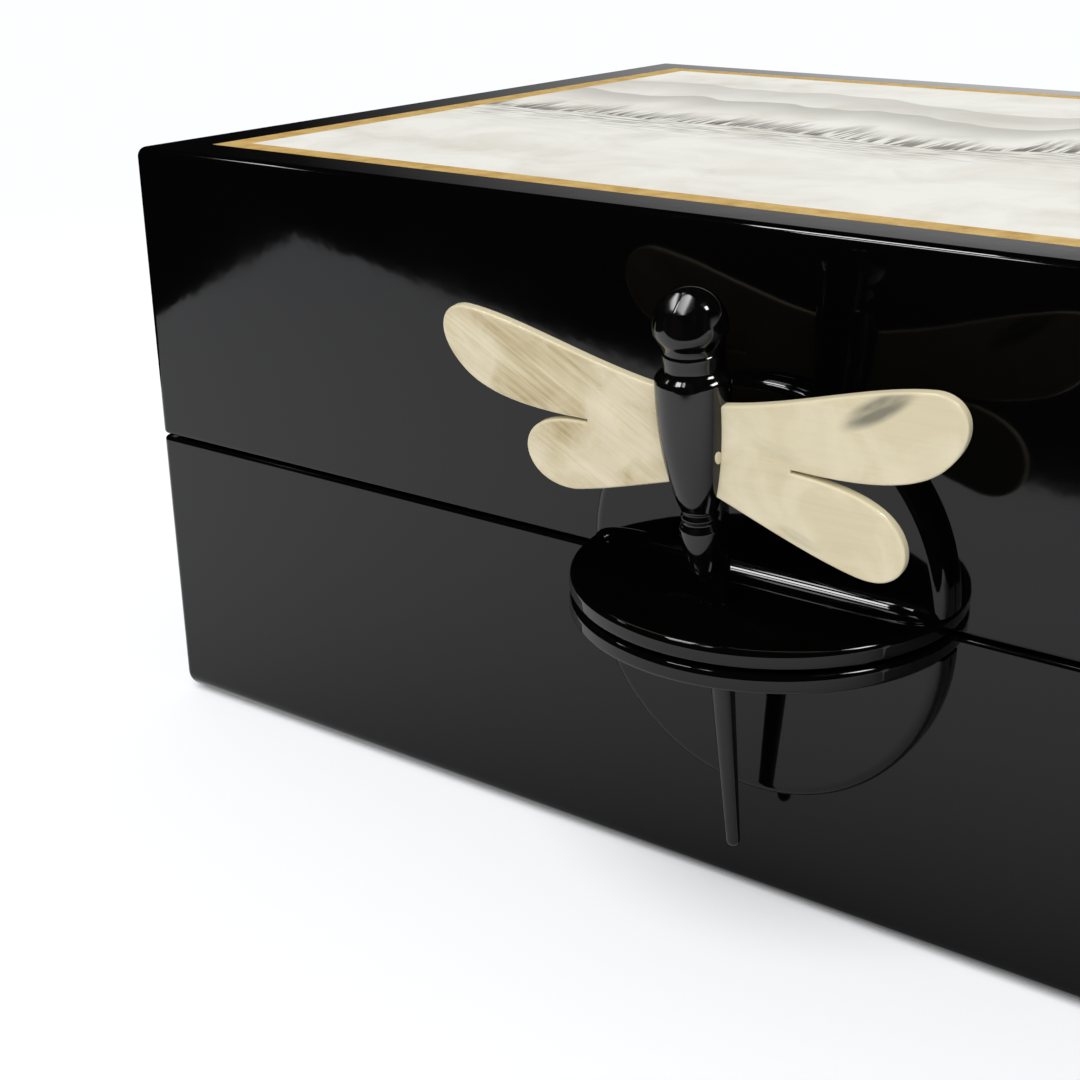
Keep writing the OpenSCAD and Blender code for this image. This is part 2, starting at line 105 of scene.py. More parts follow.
class ClaspSettings(bpy.types.PropertyGroup):
    """Sizes of the half-round brackets on the front."""
    rim: length("Rim", "Radius of the rounded rims of the shelves", 1)
    plate_rim: length("Plate rim", "Radius of the rounded front rims of the back plates", 2.2)
    plate_back: length("Plate back rim", "Radius of the back plates' rims next to the box", 0.3)
    fillet_up: length("Fillet height", "Height of the pooled lacquer between shelf and plate", 3)
    fillet_out: length("Fillet width", "Width of the pooled lacquer on the shelf", 4.5)
    hole: length("Hole", "Radius of the pin's hole in the upper shelf", 2.28)
    slot: length("Slot", "Half width of the slot in the lower shelf", 2.6)
    slot_run: length("Slot run", "How far the slot is drawn out towards the box", 3.2)
    chamfer: length("Chamfer", "Chamfer round the hole and the slot", 0.3)


class DragonflySettings(bpy.types.PropertyGroup):
    """Sizes of the pin, the carved body and the wings."""
    pin_out: length("Pin distance", "Distance of the pin from the box front at the upper shelf", 16.5)
    pin: length("Pin radius", "Radius of the pin in the upper shelf", 2.2)
    tip: length("Tip radius", "Radius of the pin's lower tip", 1.2)
    top: length("Top radius", "Radius of the pin's upper end", 3.9)
    tail: length("Tail", "Length of the pin below the upper shelf's top", 49)
    straight: length("Straight stretch", "Length of the pin that keeps its radius in the shelves", 6.6)
    stem: length("Stem", "Length of the pin above the upper shelf's top", 52)
    body_out: length("Body offset", "Distance of the carved body's axis from the pin's", 3.2)
    head_back: length("Head offset", "How far the head sits back from the body's axis, over the pin", 1)
    eye: length("Eye radius", "Radius of the two eyes", 2.25)
    wing: length("Wing thickness", "Thickness of the horn sheet", 1.8)
    wing_edge: length("Wing edge", "Radius of the wings' rounded edges", 0.45)


class LiningSettings(bpy.types.PropertyGroup):
    """Sizes of the suede and felt."""
    edge: length("Edge", "Radius of the turned-over suede edges", 0.8)
    felt_edge: length("Felt edge", "Radius of the felt's cut edge", 0.4)
    crown: length("Crown", "How far the floor suede swells over its wadding", 0.35)
    board: length("Liner board", "Thickness of the base's liner boards", 3)
    step: length("Liner step", "Set-back of the liner's lip above the seam", 0.8)
    lid_board: length("Lid liner board", "Thickness of the lid's liner boards", 2)


class HingeSettings(bpy.types.PropertyGroup):
    """Sizes of the two brass butt hinges."""
    leaf: length("Leaf thickness", "Thickness of a hinge leaf", 1.2)
    leaf_width: length("Leaf width", "Width of a leaf on the wall's edge", 8.5)
    knuckle: length("Knuckle", "Radius of the knuckles", 2.2)
    gap: length("Knuckle gap", "Gap between neighbouring knuckles", 0.25)
    screw: length("Screw head", "Radius of the screw heads", 1.9)
    proud: length("Screw height", "How far the screw heads stand above the leaf", 0.15)


class ColourSettings(bpy.types.PropertyGroup):
    """Colours of the finishes."""
    lacquer: colour("Lacquer", "Polished black lacquer", "030303")
    horn: colour("Black horn", "Polished black horn", "040404")
    horn_streak: colour("Black horn streak", "Brown streaks in the black horn", "0c0908")
    cream: colour("Pale horn", "Ground colour of the pale horn", "cabf9e")
    milk: colour("Pale horn cloud", "Whiter clouds in the pale horn", "d4c9ad")
    streak: colour("Pale horn streak", "Brown-grey streaks in the pale horn", "a08b60")
    smudge: colour("Pale horn smudge", "Grey-green smudge in the clear sheet", "5b5a4b")
    # The pale horn edge colour is a painted highlight along the wings' rounded edges.
    rim: colour("Pale horn edge", "Thin polished edge of the pale horn", "d3c9a9")
    gold: colour("Gold leaf", "Gold leaf frame", "e6c27a")
    gold_shade: colour("Gold leaf shade", "Worn gold leaf", "c49b50")
    ground: colour("Panel ground", "White ground of the panel", "f2f1e9")
    mottle: colour("Panel mottling", "Mottling of the ground", "dedad0")
    ink: colour("Ink", "Grey ink of the wash design", "524a3e")
    suede: colour("Suede", "Warm grey suede", "5a5452")
    felt: colour("Felt", "Black wool felt", "19191a")
    brass: colour("Brass", "Satin brass", "c9a35e")
    floor: colour("Floor", "Plain pale floor", "fafbfe")


# Finishes of the new pieces with their slots
LACQUER, HORN = ("Polished black lacquer", "black_lacquer"), ("Polished black horn", "black_horn")
SUEDE, FELT = ("Grey suede", "grey_suede"), ("Black wool felt", "black_felt")
BRASS = "Satin brass", "brass"

# Two layers of horn fibres: length and width in mm, the noise range they are cut from, and a turn in radians
HORN_FIBRES = (24, 4.5, 0.42, 0.72, 0.0), (13, 0.5, 0.42, 0.8, 0.09)
FIBRE_DEPTH = 9
# Smudges on the right wings, in the pin's frame: middle and half size in mm, turn in degrees, strength
SMUDGES = (((30.4, 40.3), (8.0, 2.2), -33, 0.85), ((14.0, 31.0), (6.0, 1.8), 12, 0.1),
           ((17.5, 17.3), (4.5, 1.3), 22, 0.22))
# Hills of the ink wash: height of the ridge, its swing, its wave length and depth of the wash in mm; strength
HILLS = (56, 16, 62, 34, 0.3), (33, 13, 41, 26, 0.45)


def fill(node, inputs):
    """Sets a node's inputs, by name or in the order of those in use: a value is set, an output is linked."""
    if isinstance(inputs, dict):
        pairs = [(node.inputs[name], value) for name, value in inputs.items()]
    else:
        pairs = zip([socket for socket in node.inputs if socket.enabled], inputs)
    for socket, value in pairs:
        if isinstance(value, bpy.types.NodeSocket):
            node.id_data.links.new(value, socket)
        else:
            socket.default_value = value


def adder(tree):
    """The function that adds a node to that tree."""
    def add(kind, inputs=(), output=None, **settings):
        """Adds a node with its own options and its inputs; gives its named output, or else the first in use.

        In order, a Map Range takes the value, the range it comes from and the range it is mapped to; a Mix
        takes the share of the second colour and the two colours.
        """
        node = tree.nodes.new("ShaderNode" + kind)
        for key, value in settings.items():
            setattr(node, key, value)
        fill(node, inputs)
        return node.outputs[output] if output else next((out for out in node.outputs if out.enabled), None)
    return add


def per_mm(mm):
    """Noise scale whose features are about that many millimetres wide."""
    return 1 / (mm * MM)


def lacquer_finish(add, place, colours):
    """Black lacquer, rubbed and polished: a near-black mirror with a faint ripple and polishing haze."""
    haze = add("TexNoise", {"Vector": place, "Scale": per_mm(25), "Detail": 4.0})
    ripple = add("TexNoise", {"Vector": place, "Scale": per_mm(6), "Detail": 2.0})
    return {
        "Base Color": colours.lacquer, "IOR": 1.43,
        "Roughness": add("MapRange", (haze, 0.3, 0.7, 0.035, 0.075)),
        "Normal": add("Bump", {"Height": ripple, "Strength": 1.0, "Distance": 0.012 * MM}),
    }


def black_horn_finish(add, place, colours):
    """Buffalo horn, turned, carved and buffed: black with faint brown streaks along the pin."""
    grain = add("Mapping", {"Vector": place, "Scale": (1.2 * MM, 1.2 * MM, 25 * MM)}, vector_type="TEXTURE")
    streak = add("TexNoise", {"Vector": grain, "Scale": 1.0, "Detail": 3.0})
    amount = add("MapRange", (streak, 0.45, 0.75))
    return {
        "Base Color": add("Mix", (amount, colours.horn, colours.horn_streak), data_type="RGBA"), "IOR": 1.54,
        "Roughness": add("MapRange", (streak, 0.0, 1.0, 0.05, 0.11)),
    }


def pale_horn_finish(add, place, colours, turn, streakiness, smudges):
    """Cream horn sheet, sawn flat and buffed: whiter clouds, brown-grey fibres that come and go, and a painted
    highlight along the thin edge.
    """
    flat = add("Mapping", {"Vector": place, "Location": pin_origin(), "Rotation": (pin_lean(), 0, 0)},
               vector_type="TEXTURE")
    cloud = add("TexNoise", {"Vector": flat, "Scale": per_mm(9), "Detail": 4.0, "Distortion": 0.6})
    milky = add("MapRange", (cloud, 0.42, 0.66))
    tone = add("Mix", (milky, colours.cream, colours.milk), data_type="RGBA")
    layers = []
    for along, across, low, high, askew in HORN_FIBRES:
        grain = add("Mapping", {"Vector": flat, "Rotation": (0, math.radians(turn) + askew, 0),
                                "Scale": (along * MM, FIBRE_DEPTH * MM, across * MM)}, vector_type="TEXTURE")
        fibre = add("TexNoise", {"Vector": grain, "Scale": 1.0, "Detail": 3.0, "Distortion": 0.2})
        layers.append(add("MapRange", (fibre, low, high, 0.0, streakiness)))
    bands = add("Math", layers, operation="ADD", use_clamp=True)
    patchy = add("MapRange", (cloud, 0.38, 0.6, 1.0, 0.3))
    bands = add("Math", (bands, patchy), operation="MULTIPLY")
    tone = add("Mix", (bands, tone, colours.streak), data_type="RGBA")
    for (x, z), (wide, high), slant, strength in smudges:
        spot = add("Mapping", {"Vector": flat, "Location": (x * MM, 0, z * MM),
                               "Rotation": (0, math.radians(slant), 0),
                               "Scale": (wide * MM, 1.0, high * MM)}, vector_type="TEXTURE")
        away = add("VectorMath", (spot,), operation="LENGTH")
        shade = add("MapRange", (away, 0.4, 1.0, strength, 0.0), interpolation_type="SMOOTHSTEP")
        brush = add("TexNoise", {"Vector": spot, "Scale": 1.0, "Detail": 2.0})
        uneven = add("MapRange", (brush, 0.38, 0.55, 0.6, 1.0))
        amount = add("Math", (shade, uneven), operation="MULTIPLY")
        tone = add("Mix", (amount, tone, colours.smudge), data_type="RGBA")
    # Painted highlight: near the rounded edge the colour is mixed towards the lighter edge colour.
    edge = add("Attribute", output="Fac", attribute_name="edge")
    return {
        "Base Color": add("Mix", (edge, tone, colours.rim), data_type="RGBA"), "IOR": 1.54,
        "Roughness": add("MapRange", (bands, 0.0, 1.0, 0.24, 0.36)),
        "Normal": add("Bump", {"Height": layers[1], "Strength": 0.12, "Distance": 0.1 * MM}),
    }


def gold_leaf_finish(add, place, colours):
    """Gold leaf under clear lacquer: warm, slightly cloudy gold with fine wrinkles and worn spots."""
    cloud = add("TexNoise", {"Vector": place, "Scale": per_mm(5), "Detail": 5.0, "Roughness": 0.65})
    wear = add("MapRange", (cloud, 0.42, 0.72))
    wrinkle = add("TexVoronoi", {"Vector": place, "Scale": per_mm(1.6)}, feature="DISTANCE_TO_EDGE")
    return {
        "Base Color": add("Mix", (wear, colours.gold, colours.gold_shade), data_type="RGBA"),
        "Metallic": 0.15, "IOR": 1.5, "Specular IOR Level": 0.08,
        "Roughness": add("MapRange", (cloud, 0.0, 1.0, 0.36, 0.55)),
        "Normal": add("Bump", {"Height": wrinkle, "Strength": 0.15, "Distance": 0.1 * MM}),
    }


def panel_finish(add, place, colours):
    """Ink wash on a mottled white ground: two ranges of misty hills, a bank of reeds and ripples below it."""
    x, y = (add("SeparateXYZ", (place,), output=axis) for axis in "XY")
    cloud = add("TexNoise", {"Vector": place, "Scale": per_mm(24), "Detail": 6.0, "Roughness": 0.6,
                             "Distortion": 0.6})
    mottle = add("MapRange", (cloud, 0.42, 0.72))
    ground = add("Mix", (mottle, colours.ground, colours.mottle), data_type="RGBA")

    def line(wave, middle, swing, detail):
        """Height of a line across the panel: middle plus swing times a noise of x with that wave, in mm."""
        along = add("Math", (x, per_mm(wave)), operation="MULTIPLY")
        noise = add("TexNoise", {"W": along, "Scale": 1.0, "Detail": detail}, noise_dimensions="1D")
        return add("MapRange", (noise, 0.25, 0.75, (middle - swing) * MM, (middle + swing) * MM), clamp=False)

    def wash(start, soft, fall, depth, strength):
        """Ink that sets in at start 0, over a soft stretch in mm, and is gone where fall reaches depth."""
        begin = add("MapRange", (start, soft[0] * MM, soft[1] * MM), interpolation_type="SMOOTHSTEP")
        thinning = add("MapRange", (fall, 0.0, depth, strength, 0.0), interpolation_type="SMOOTHSTEP")
        return add("Math", (begin, thinning), operation="MULTIPLY")

    def marks(wide, high, low, top):
        """Brush marks of that width and height in mm, cut out of a stretched noise."""
        stretch = add("Mapping", {"Vector": place, "Scale": (wide * MM, high * MM, 1.0)}, vector_type="TEXTURE")
        noise = add("TexNoise", {"Vector": stretch, "Scale": 1.0, "Detail": 2.0})
        return add("MapRange", (noise, low, top))

    ink = 0.0
    for middle, swing, wave, depth, strength in HILLS:
        below = add("Math", (line(wave, middle, swing, 2.0), y), operation="SUBTRACT")
        ink = add("Math", (ink, wash(below, (-0.5, 0.7), below, depth * MM, strength)), operation="MAXIMUM")
    above = add("Math", (y, line(55, -6, 7, 1.0)), operation="SUBTRACT")
    reach = add("Math", (above, line(11, 17, 16, 3.0)), operation="DIVIDE")
    under = add("Math", (above, -1.0), operation="MULTIPLY")
    reeds = marks(1.1, 18, 0.4, 0.52), wash(above, (-1.0, 0.5), reach, 1.0, 1.0)
    ripples = marks(9, 0.9, 0.46, 0.58), wash(under, (-0.5, 0.3), under, 24 * MM, 0.7)
    for strokes in (reeds, ripples):
        ink = add("Math", (ink, add("Math", strokes, operation="MULTIPLY")), operation="MAXIMUM")
    uneven = add("MapRange", (cloud, 0.3, 0.7, 1.0, 0.55))
    ink = add("Math", (ink, uneven), operation="MULTIPLY")
    return {
        "Base Color": add("Mix", (ink, ground, colours.ink), data_type="RGBA"),
        "IOR": 1.45, "Specular IOR Level": 0.02,
        "Roughness": add("MapRange", (cloud, 0.0, 1.0, 0.4, 0.55)),
    }


def cloth_finish(add, place, colours, tint, nap, fibre, depth, sheen):
    """Napped cloth: lighter and darker brushed patches over a dense pile, with a sheen at grazing angles."""
    patches = add("TexNoise", {"Vector": place, "Scale": per_mm(nap), "Detail": 4.0, "Distortion": 0.8})
    pile = add("TexNoise", {"Vector": place, "Scale": per_mm(fibre), "Detail": 3.0})
    both = add("Math", (patches, pile), operation="ADD")
    level = add("MapRange", (both, 0.7, 1.3, 0.72, 1.25))
    return {
        "Base Color": add("Mix", (1.0, getattr(colours, tint), level), data_type="RGBA", blend_type="MULTIPLY"),
        "Roughness": 0.95, "Sheen Weight": sheen, "Sheen Roughness": 0.45, "Specular IOR Level": 0.2,
        "Normal": add("Bump", {"Height": pile, "Strength": 0.5, "Distance": depth * MM}),
    }


def brass_finish(add, place, colours):
    """Satin brass, rolled and brushed along the hinge: fine lengthwise scratches and a little tarnish."""
    brush = add("Mapping", {"Vector": place, "Scale": (9 * MM, 0.3 * MM, 0.3 * MM)}, vector_type="TEXTURE")
    lines = add("TexNoise", {"Vector": brush, "Scale": 1.0, "Detail": 3.0})
    tarnish = add("TexNoise", {"Vector": place, "Scale": per_mm(6), "Detail": 4.0})
    level = add("MapRange", (tarnish, 0.3, 0.7, 0.8, 1.05))
    return {
        "Base Color": add("Mix", (1.0, colours.brass, level), data_type="RGBA", blend_type="MULTIPLY"),
        "Metallic": 1.0,
        "Roughness": add("MapRange", (lines, 0.0, 1.0, 0.2, 0.42)),
        "Normal": add("Bump", {"Height": lines, "Strength": 0.15, "Distance": 0.05 * MM}),
    }


def floor_finish(add, place, colours):
    """Matt pale board with a slight glow of its own, which lifts it to white."""
    return {"Base Color": colours.floor, "Roughness": 0.7, "Specular IOR Level": 0.1, "Emission Strength": 0.1}


FINISHES = {
    "Polished black lacquer": lacquer_finish,
    "Polished black horn": black_horn_finish,
    "Streaked pale horn": partial(pale_horn_finish, turn=26, streakiness=0.68, smudges=()),
    "Clear pale horn": partial(pale_horn_finish, turn=-6, streakiness=0.14, smudges=SMUDGES),
    "Gold leaf": gold_leaf_finish,
    "Ink wash on white ground": panel_finish,
    "Grey suede": partial(cloth_finish, tint="suede", nap=14, fibre=0.6, depth=0.12, sheen=0.35),
    "Black wool felt": partial(cloth_finish, tint="felt", nap=9, fibre=0.9, depth=0.25, sheen=0.2),
    "Satin brass": brass_finish,
    "Plain pale floor": floor_finish,
}


def finish(name):
    """The material of that name, made at its first use: FINISHES gives the inputs of its Principled shader."""
    if name in bpy.data.materials:
        return bpy.data.materials[name]
    material = bpy.data.materials.new(name)
    material.use_nodes = True
    add = adder(material.node_tree)
    inputs = FINISHES[name](add, add("TexCoord", output="Object"), bpy.context.scene.lacquer_colours)
    fill(material.node_tree.nodes["Principled BSDF"], inputs)
    return material


MERGE_DISTANCE, SLIVER = 1e-6, 1e-7
FACE_WEIGHT = 90


def grid_faces(rows, cols, along=False, around=False):
    """Quads between neighbours in a grid; along joins the last row to the first, around the columns."""
    i, j = np.meshgrid(np.arange(rows - (not along)), np.arange(cols - (not around)), indexing="ij")
    up, right = (i + 1) % rows, (j + 1) % cols
    quads = np.stack([i * cols + j, i * cols + right, up * cols + right, up * cols + j], axis=-1)
    return quads.reshape(-1, 4)


def mesh_object(name, points, faces, material, **values):
    """A mesh object at the origin; values are numbers stored at its points."""
    mesh = bpy.data.meshes.new(name)
    mesh.from_pydata(points.reshape(-1, 3).tolist(), [], faces)
    for key, numbers in values.items():
        layer = mesh.attributes.new(key, "FLOAT", "POINT")
        layer.data.foreach_set("value", numbers.ravel().astype(np.float32))
    mesh.materials.append(material)
    ob = bpy.data.objects.new(name, mesh)
    bpy.context.scene.collection.objects.link(ob)
    return ob


def make_piece(name, grids, look, body, nodes, sharp=40, flat=True, **values):
    """One mesh object from grids of points (rows, columns, xyz), each with its options; look is (finish, slot),
    and its slot is not used.

    Quads join neighbouring points. 'around' closes every row on itself, 'along' joins the last row to the
    first and 'capped' fills the first and last row. Doubles are merged, so that poles close, and all faces
    turned outwards. With flat, large faces keep their own direction and only rounded edges shade smoothly.
    """
    points, faces, first = [], [], 0
    for grid, options in grids:
        rows, cols = grid.shape[:2]
        faces += (first + grid_faces(rows, cols, "along" in options, "around" in options)).tolist()
        if "capped" in options:
            ring = first + np.arange(cols)
            faces += [ring[::-1].tolist(), (ring + (rows - 1) * cols).tolist()]
        points.append(grid.reshape(-1, 3))
        first += rows * cols
    ob = mesh_object(name, np.concatenate(points), faces, finish(look[0]), **values)
    work = bmesh.new()
    work.from_mesh(ob.data)
    bmesh.ops.remove_doubles(work, verts=work.verts, dist=MERGE_DISTANCE)
    bmesh.ops.dissolve_degenerate(work, edges=work.edges, dist=SLIVER)
    bmesh.ops.recalc_face_normals(work, faces=work.faces)
    work.to_mesh(ob.data)
    work.free()
    ob.data.shade_smooth()
    ob.data.set_sharp_from_angle(angle=math.radians(sharp))
    if flat:
        weighted = ob.modifiers.new("Flat faces", "WEIGHTED_NORMAL")
        weighted.keep_sharp = True
        weighted.weight = FACE_WEIGHT
    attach(ob, body)
    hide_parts(*nodes)
    return ob


CORNER_STEPS = 12
INNER_CORNER = 0.3 * MM


def coords(*parts):
    """Points from their coordinates, which are spread to one shape."""
    return np.stack(np.broadcast_arrays(*parts), axis=-1)


def smooth(t):
    """Smooth step of t, clipped to 0 and 1: t^2 (3 - 2t)."""
    t = np.clip(t, 0, 1)
    return t ** 2 * (3 - 2 * t)


def eased(z0, z1, low_r, high_r, steps=9):
    """Section (inset, height) of an upright side, from underside to top: a quarter circle at each edge."""
    a = np.linspace(0, np.pi / 2, steps)
    low = coords(low_r * (1 - np.sin(a)), z0 + low_r * (1 - np.cos(a)))
    high = coords(high_r * (1 - np.cos(a)), z1 - high_r * (1 - np.sin(a)))
    return np.concatenate([low, high])


def outline_grid(lo, hi, corner, section, breaks=()):
    """A section carried round the rounded rectangle of a box: rows are stations, columns section points.

    A section point is (inset, height). At a station of angle a in the corner of signs (sx, sy), with inset d,
    r = max(corner - d, smallest) and the box's middle as zero: x = sx (width/2 - d - r) + r cos a and
    y = sy (depth/2 - d - r) + r sin a. Breaks are further stations on the back side, given by their x.
    """
    lo, hi = np.asarray(lo), np.asarray(hi)
    turn = np.linspace(0, np.pi / 2, CORNER_STEPS)
    angle = (np.arange(-1, 3)[:, None] * np.pi / 2 + turn).reshape(-1, 1)
    sx, sy = np.repeat([[1, 1, -1, -1], [-1, 1, 1, -1]], CORNER_STEPS, axis=1)[..., None]
    inset, height = np.asarray(section).T
    r = np.maximum(corner - inset, INNER_CORNER)
    middle, half = (lo + hi) / 2, (hi - lo) / 2
    x = middle[0] + sx * (half[0] - inset - r) + r * np.cos(angle)
    y = middle[1] + sy * (half[1] - inset - r) + r * np.sin(angle)
    here = 2 * CORNER_STEPS
    more = np.array(breaks, float)[:, None] + 0 * inset
    x = np.concatenate([x[:here], more, x[here:]])
    y = np.concatenate([y[:here], hi[1] - inset + 0 * more, y[here:]])
    return coords(x, y, height)


def lathe(profile, steps=64):
    """Surface of revolution about Z: each (radius, height) becomes a ring of (r cos t, r sin t, height)."""
    r, z = np.asarray(profile).T[..., None]
    t = np.linspace(0, 2 * np.pi, steps, endpoint=False)
    return coords(r * np.cos(t), r * np.sin(t), z)


def lacquer_shell(name, sides, low_r, high_r, seam_on_top, body):
    """Four lacquered walls in one skin: the wall's section, rounded on its outer edges, carried round the box.

    On the back side the edge at the seam drops by a leaf's thickness over each hinge leaf.
    """
    s, h = bpy.context.scene.lacquer_shell, bpy.context.scene.lacquer_hinge
    lo, hi = corners(*sides)
    z0, z1 = lo[2], hi[2]
    outer = eased(z0, z1, low_r, high_r)
    half = len(outer) // 2
    if seam_on_top:
        step, limits = [[h.leaf_width, z1]] * 2, (z0, z1 - h.leaf)
        section, cut = [*outer, *step], slice(1 + half, 2 + 2 * half)
    else:
        step, limits = [[h.leaf_width, z0]] * 2, (z0 + h.leaf, z1)
        section, cut = [*step, *outer], slice(2, 3 + half)
    ends = []
    for leaf in ("hinge_lid_leaf_right", "hinge_lid_leaf_left"):
        leaf_lo, leaf_hi = corners(leaf)
        ends += [leaf_hi[0], leaf_hi[0], leaf_lo[0], leaf_lo[0]]
    grid = outline_grid(lo, hi, s.corner, [[s.wall, z0], *section, [s.wall, z1]], ends)
    for leaf_start in (0, 4):
        at = 2 * CORNER_STEPS + leaf_start + 1
        grid[at:at + 2, cut, 2] = np.clip(grid[at:at + 2, cut, 2], *limits)
    return make_piece(name, [(grid, "along around")], LACQUER, body, sides)


def half_disc(radius, thick, rim, under, holes=None, chamfer=0.0):
    """Grid of a half-round plate in (u, v, w): u along its straight edge, v out from it, w through it.

    Round the arc the rim is two quarter circles, of radius rim above and under below; along the straight edge
    the section is cut off square. With holes, a pair of functions from a direction to the upper and lower hole
    edge, the section runs from the hole over the top, round the rim and back under; without, from the middle
    to the middle.
    """
    arc = np.linspace(0, np.pi, 97)
    away = coords(np.cos(arc), np.sin(arc))
    edge = np.linspace(rim - radius, radius - rim, 33)
    out = np.concatenate([radius * away, coords(edge, 0.0)])
    away = np.concatenate([away, np.zeros((edge.size, 2))])
    inset, height = eased(0.0, thick, under, rim, 7)[::-1].T
    ring = out[:, None] - away[:, None] * inset[:, None]
    ring = coords(*np.moveaxis(ring, -1, 0), height)
    if holes is None:
        middle = np.broadcast_to([0, radius / 3], out.shape)
        faces = [(middle, thick)], [(middle, 0.0)]
    else:
        upper, lower = holes
        faces = ([(upper(out, 0.0), thick - chamfer), (upper(out, chamfer), thick)],
                 [(lower(out, chamfer), 0.0), (lower(out, 0.0), chamfer)])
    top, bottom = ([np.insert(points, 2, w, axis=1)[:, None] for points, w in face] for face in faces)
    return np.concatenate([*top, ring, *bottom], axis=1)


def slot_edge(centre, radius, run):
    """Edge of a round hole drawn out by run towards the box, as a function of the outline point it faces."""
    def edge(out, grow):
        away = out - centre
        away = away / np.linalg.norm(away, axis=1, keepdims=True)
        return centre + (radius + grow) * away - coords(0.0, np.where(away[:, 1] < 0, run, 0.0))
    return edge


def pin_lean():
    """Lean of the pin, from the axis of its joint."""
    axis = next(j for j in frame["joints"] if j["name"] == "dragonfly_lift")["axis"]
    return math.atan2(-axis[1], axis[2])


def pin_origin():
    """Point where the pin's axis crosses the top of the upper shelf."""
    front = corners("lid_front_wall")[0][1]
    return (0.0, front - bpy.context.scene.lacquer_dragonfly.pin_out, corners("upper_shelf")[1][2])


def on_pin(points):
    """Points given in the pin's own frame, turned by its lean about X and set at its origin."""
    c, s = math.cos(pin_lean()), math.sin(pin_lean())
    turn = np.array([[1, 0, 0], [0, c, -s], [0, s, c]])
    return points @ turn.T + np.array(pin_origin())


def shelf_piece(name, body, hole_radius, run):
    """Half-round shelf with a rounded rim and a leaning hole for the pin."""
    s, d = bpy.context.scene.lacquer_clasp, bpy.context.scene.lacquer_dragonfly
    lo, hi = corners(name)
    thick, radius = hi[2] - lo[2], (hi[0] - lo[0]) / 2
    drops = (pin_origin()[2] - z for z in (hi[2], lo[2]))
    holes = [slot_edge(np.array([0.0, d.pin_out - drop * math.tan(pin_lean())]), hole_radius, run)
             for drop in drops]
    u, v, w = np.moveaxis(half_disc(radius, thick, s.rim, s.rim, holes, s.chamfer), -1, 0)
    grid = coords(u, hi[1] - v, lo[2] + w)
    return make_piece(name + "_polished", [(grid, "along around")], LACQUER, body, (name,), sharp=50)


# How far the fillet reaches back into the plate, as a share of its rim's radius, and how its section shrinks
# towards both ends: by the root of 1 - t to this power, down to the root of the least value
FILLET_BACK = 0.4
FILLET_POWER, FILLET_LEAST = 8, 0.01


def plate_piece(name, body, up):
    """Half-round back plate with a rounded rim, and the concave fillet of lacquer where it meets the shelf.

    The fillet's section is a quarter ellipse hollowed out of the corner; it shrinks to nothing at both ends of
    the straight edge.
    """
    s = bpy.context.scene.lacquer_clasp
    lo, hi = corners(name)
    thick, radius = hi[1] - lo[1], (hi[0] - lo[0]) / 2
    foot, sign = (lo[2], 1) if up else (hi[2], -1)
    u, v, w = np.moveaxis(half_disc(radius, thick, s.plate_rim, s.plate_back), -1, 0)
    plate = coords(u, hi[1] - w, foot + sign * v)
    t = np.linspace(-1, 1, 65)[:, None]
    r = np.sqrt(np.clip(1 - np.abs(t) ** FILLET_POWER, FILLET_LEAST, 1))
    a = np.linspace(0, np.pi / 2, 17)
    y = np.concatenate([-s.fillet_out * r * (1 - np.cos(a)), FILLET_BACK * s.plate_rim + 0 * r], axis=1)
    z = np.concatenate([s.fillet_up * r * (1 - np.sin(a)), 0 * r], axis=1)
    fillet = coords(t * (radius - s.rim), lo[1] + y, foot + sign * z)
    grids = [(plate, "along"), (fillet, "around capped")]
    return make_piece(name + "_polished", grids, LACQUER, body, (name,), sharp=50)


# Swells and coves of the carved body below and above its taper: heights along the pin and radii, in mm
TAIL_STATIONS = np.array([[14.9, 3.3], [16.2, 2.7], [17, 3.0], [17.8, 2.6], [18.3, 2.9]])
HEAD_STATIONS = np.array([[39.4, 5.7], [41.2, 4.2], [43.4, 4.45], [43.8, 4.2], [47.1, 5.6]])
BODY_ENDS = 5.4, 53
TAPER_LENGTH = 24.5
HEAD_BEND = 27, 48
# Middle of the right eye in mm, and how softly the eyes join the head
EYE = 2.5, -0.9, 49.4
EYE_SOFT = 0.4 * MM
# Cut on each eye: turn from the front and tilt upwards in degrees, distance from the head's middle and radius
# in mm; how far the cut falls off at most; and the least cosines to divide by and to cut at
EYE_CUT = 17, 52, 5.42, 40
EYE_FALL = 0.3
CUT_LEAST, CUT_REACH = 0.05, 0.1

# Wing outlines in the pin's frame, in mm: root, then cubic curves as two shaping points and an end point
WINGS = {
    "left": {
        "root": (4.2, 37.4),
        "upper": [(17, 38.8), (31, 44.6), (40.7, 45.2), (45.8, 45.4), (48, 39.6), (42.2, 34.2),
                  (38.2, 30.5), (30, 29.3), (19, 29.6)],
        "lower": [(25.2, 29.2), (30.6, 27.8), (31.4, 23.2), (31.8, 18.6), (27.2, 16), (22.2, 16.8),
                  (16, 18.1), (9.5, 20.4), (2.6, 22.4)],
    },
    "right": {
        "root": (4.2, 36.2),
        "upper": [(16, 37.6), (29, 43.4), (38.5, 44.1), (43.6, 44.4), (45.9, 38.6), (40, 32.8),
                  (36, 28.9), (28, 27.6), (16.4, 28.2)],
        "lower": [(25, 27.2), (32.3, 25.6), (34, 19.9), (35.2, 15.8), (32.4, 11.8), (26.8, 12.8),
                  (20, 14.1), (11.5, 17.9), (2.6, 21.4)],
    },
}
SLIT_DROP = 0.5
# Middle and half size of the right tenon's end, in mm
TENON = (4.6, -4.1, 28.6), (0.45, 1.2, 1.75)
# Gap between the pin's straight stretch and the stem that widens above it
STEM_START = 0.08 * MM


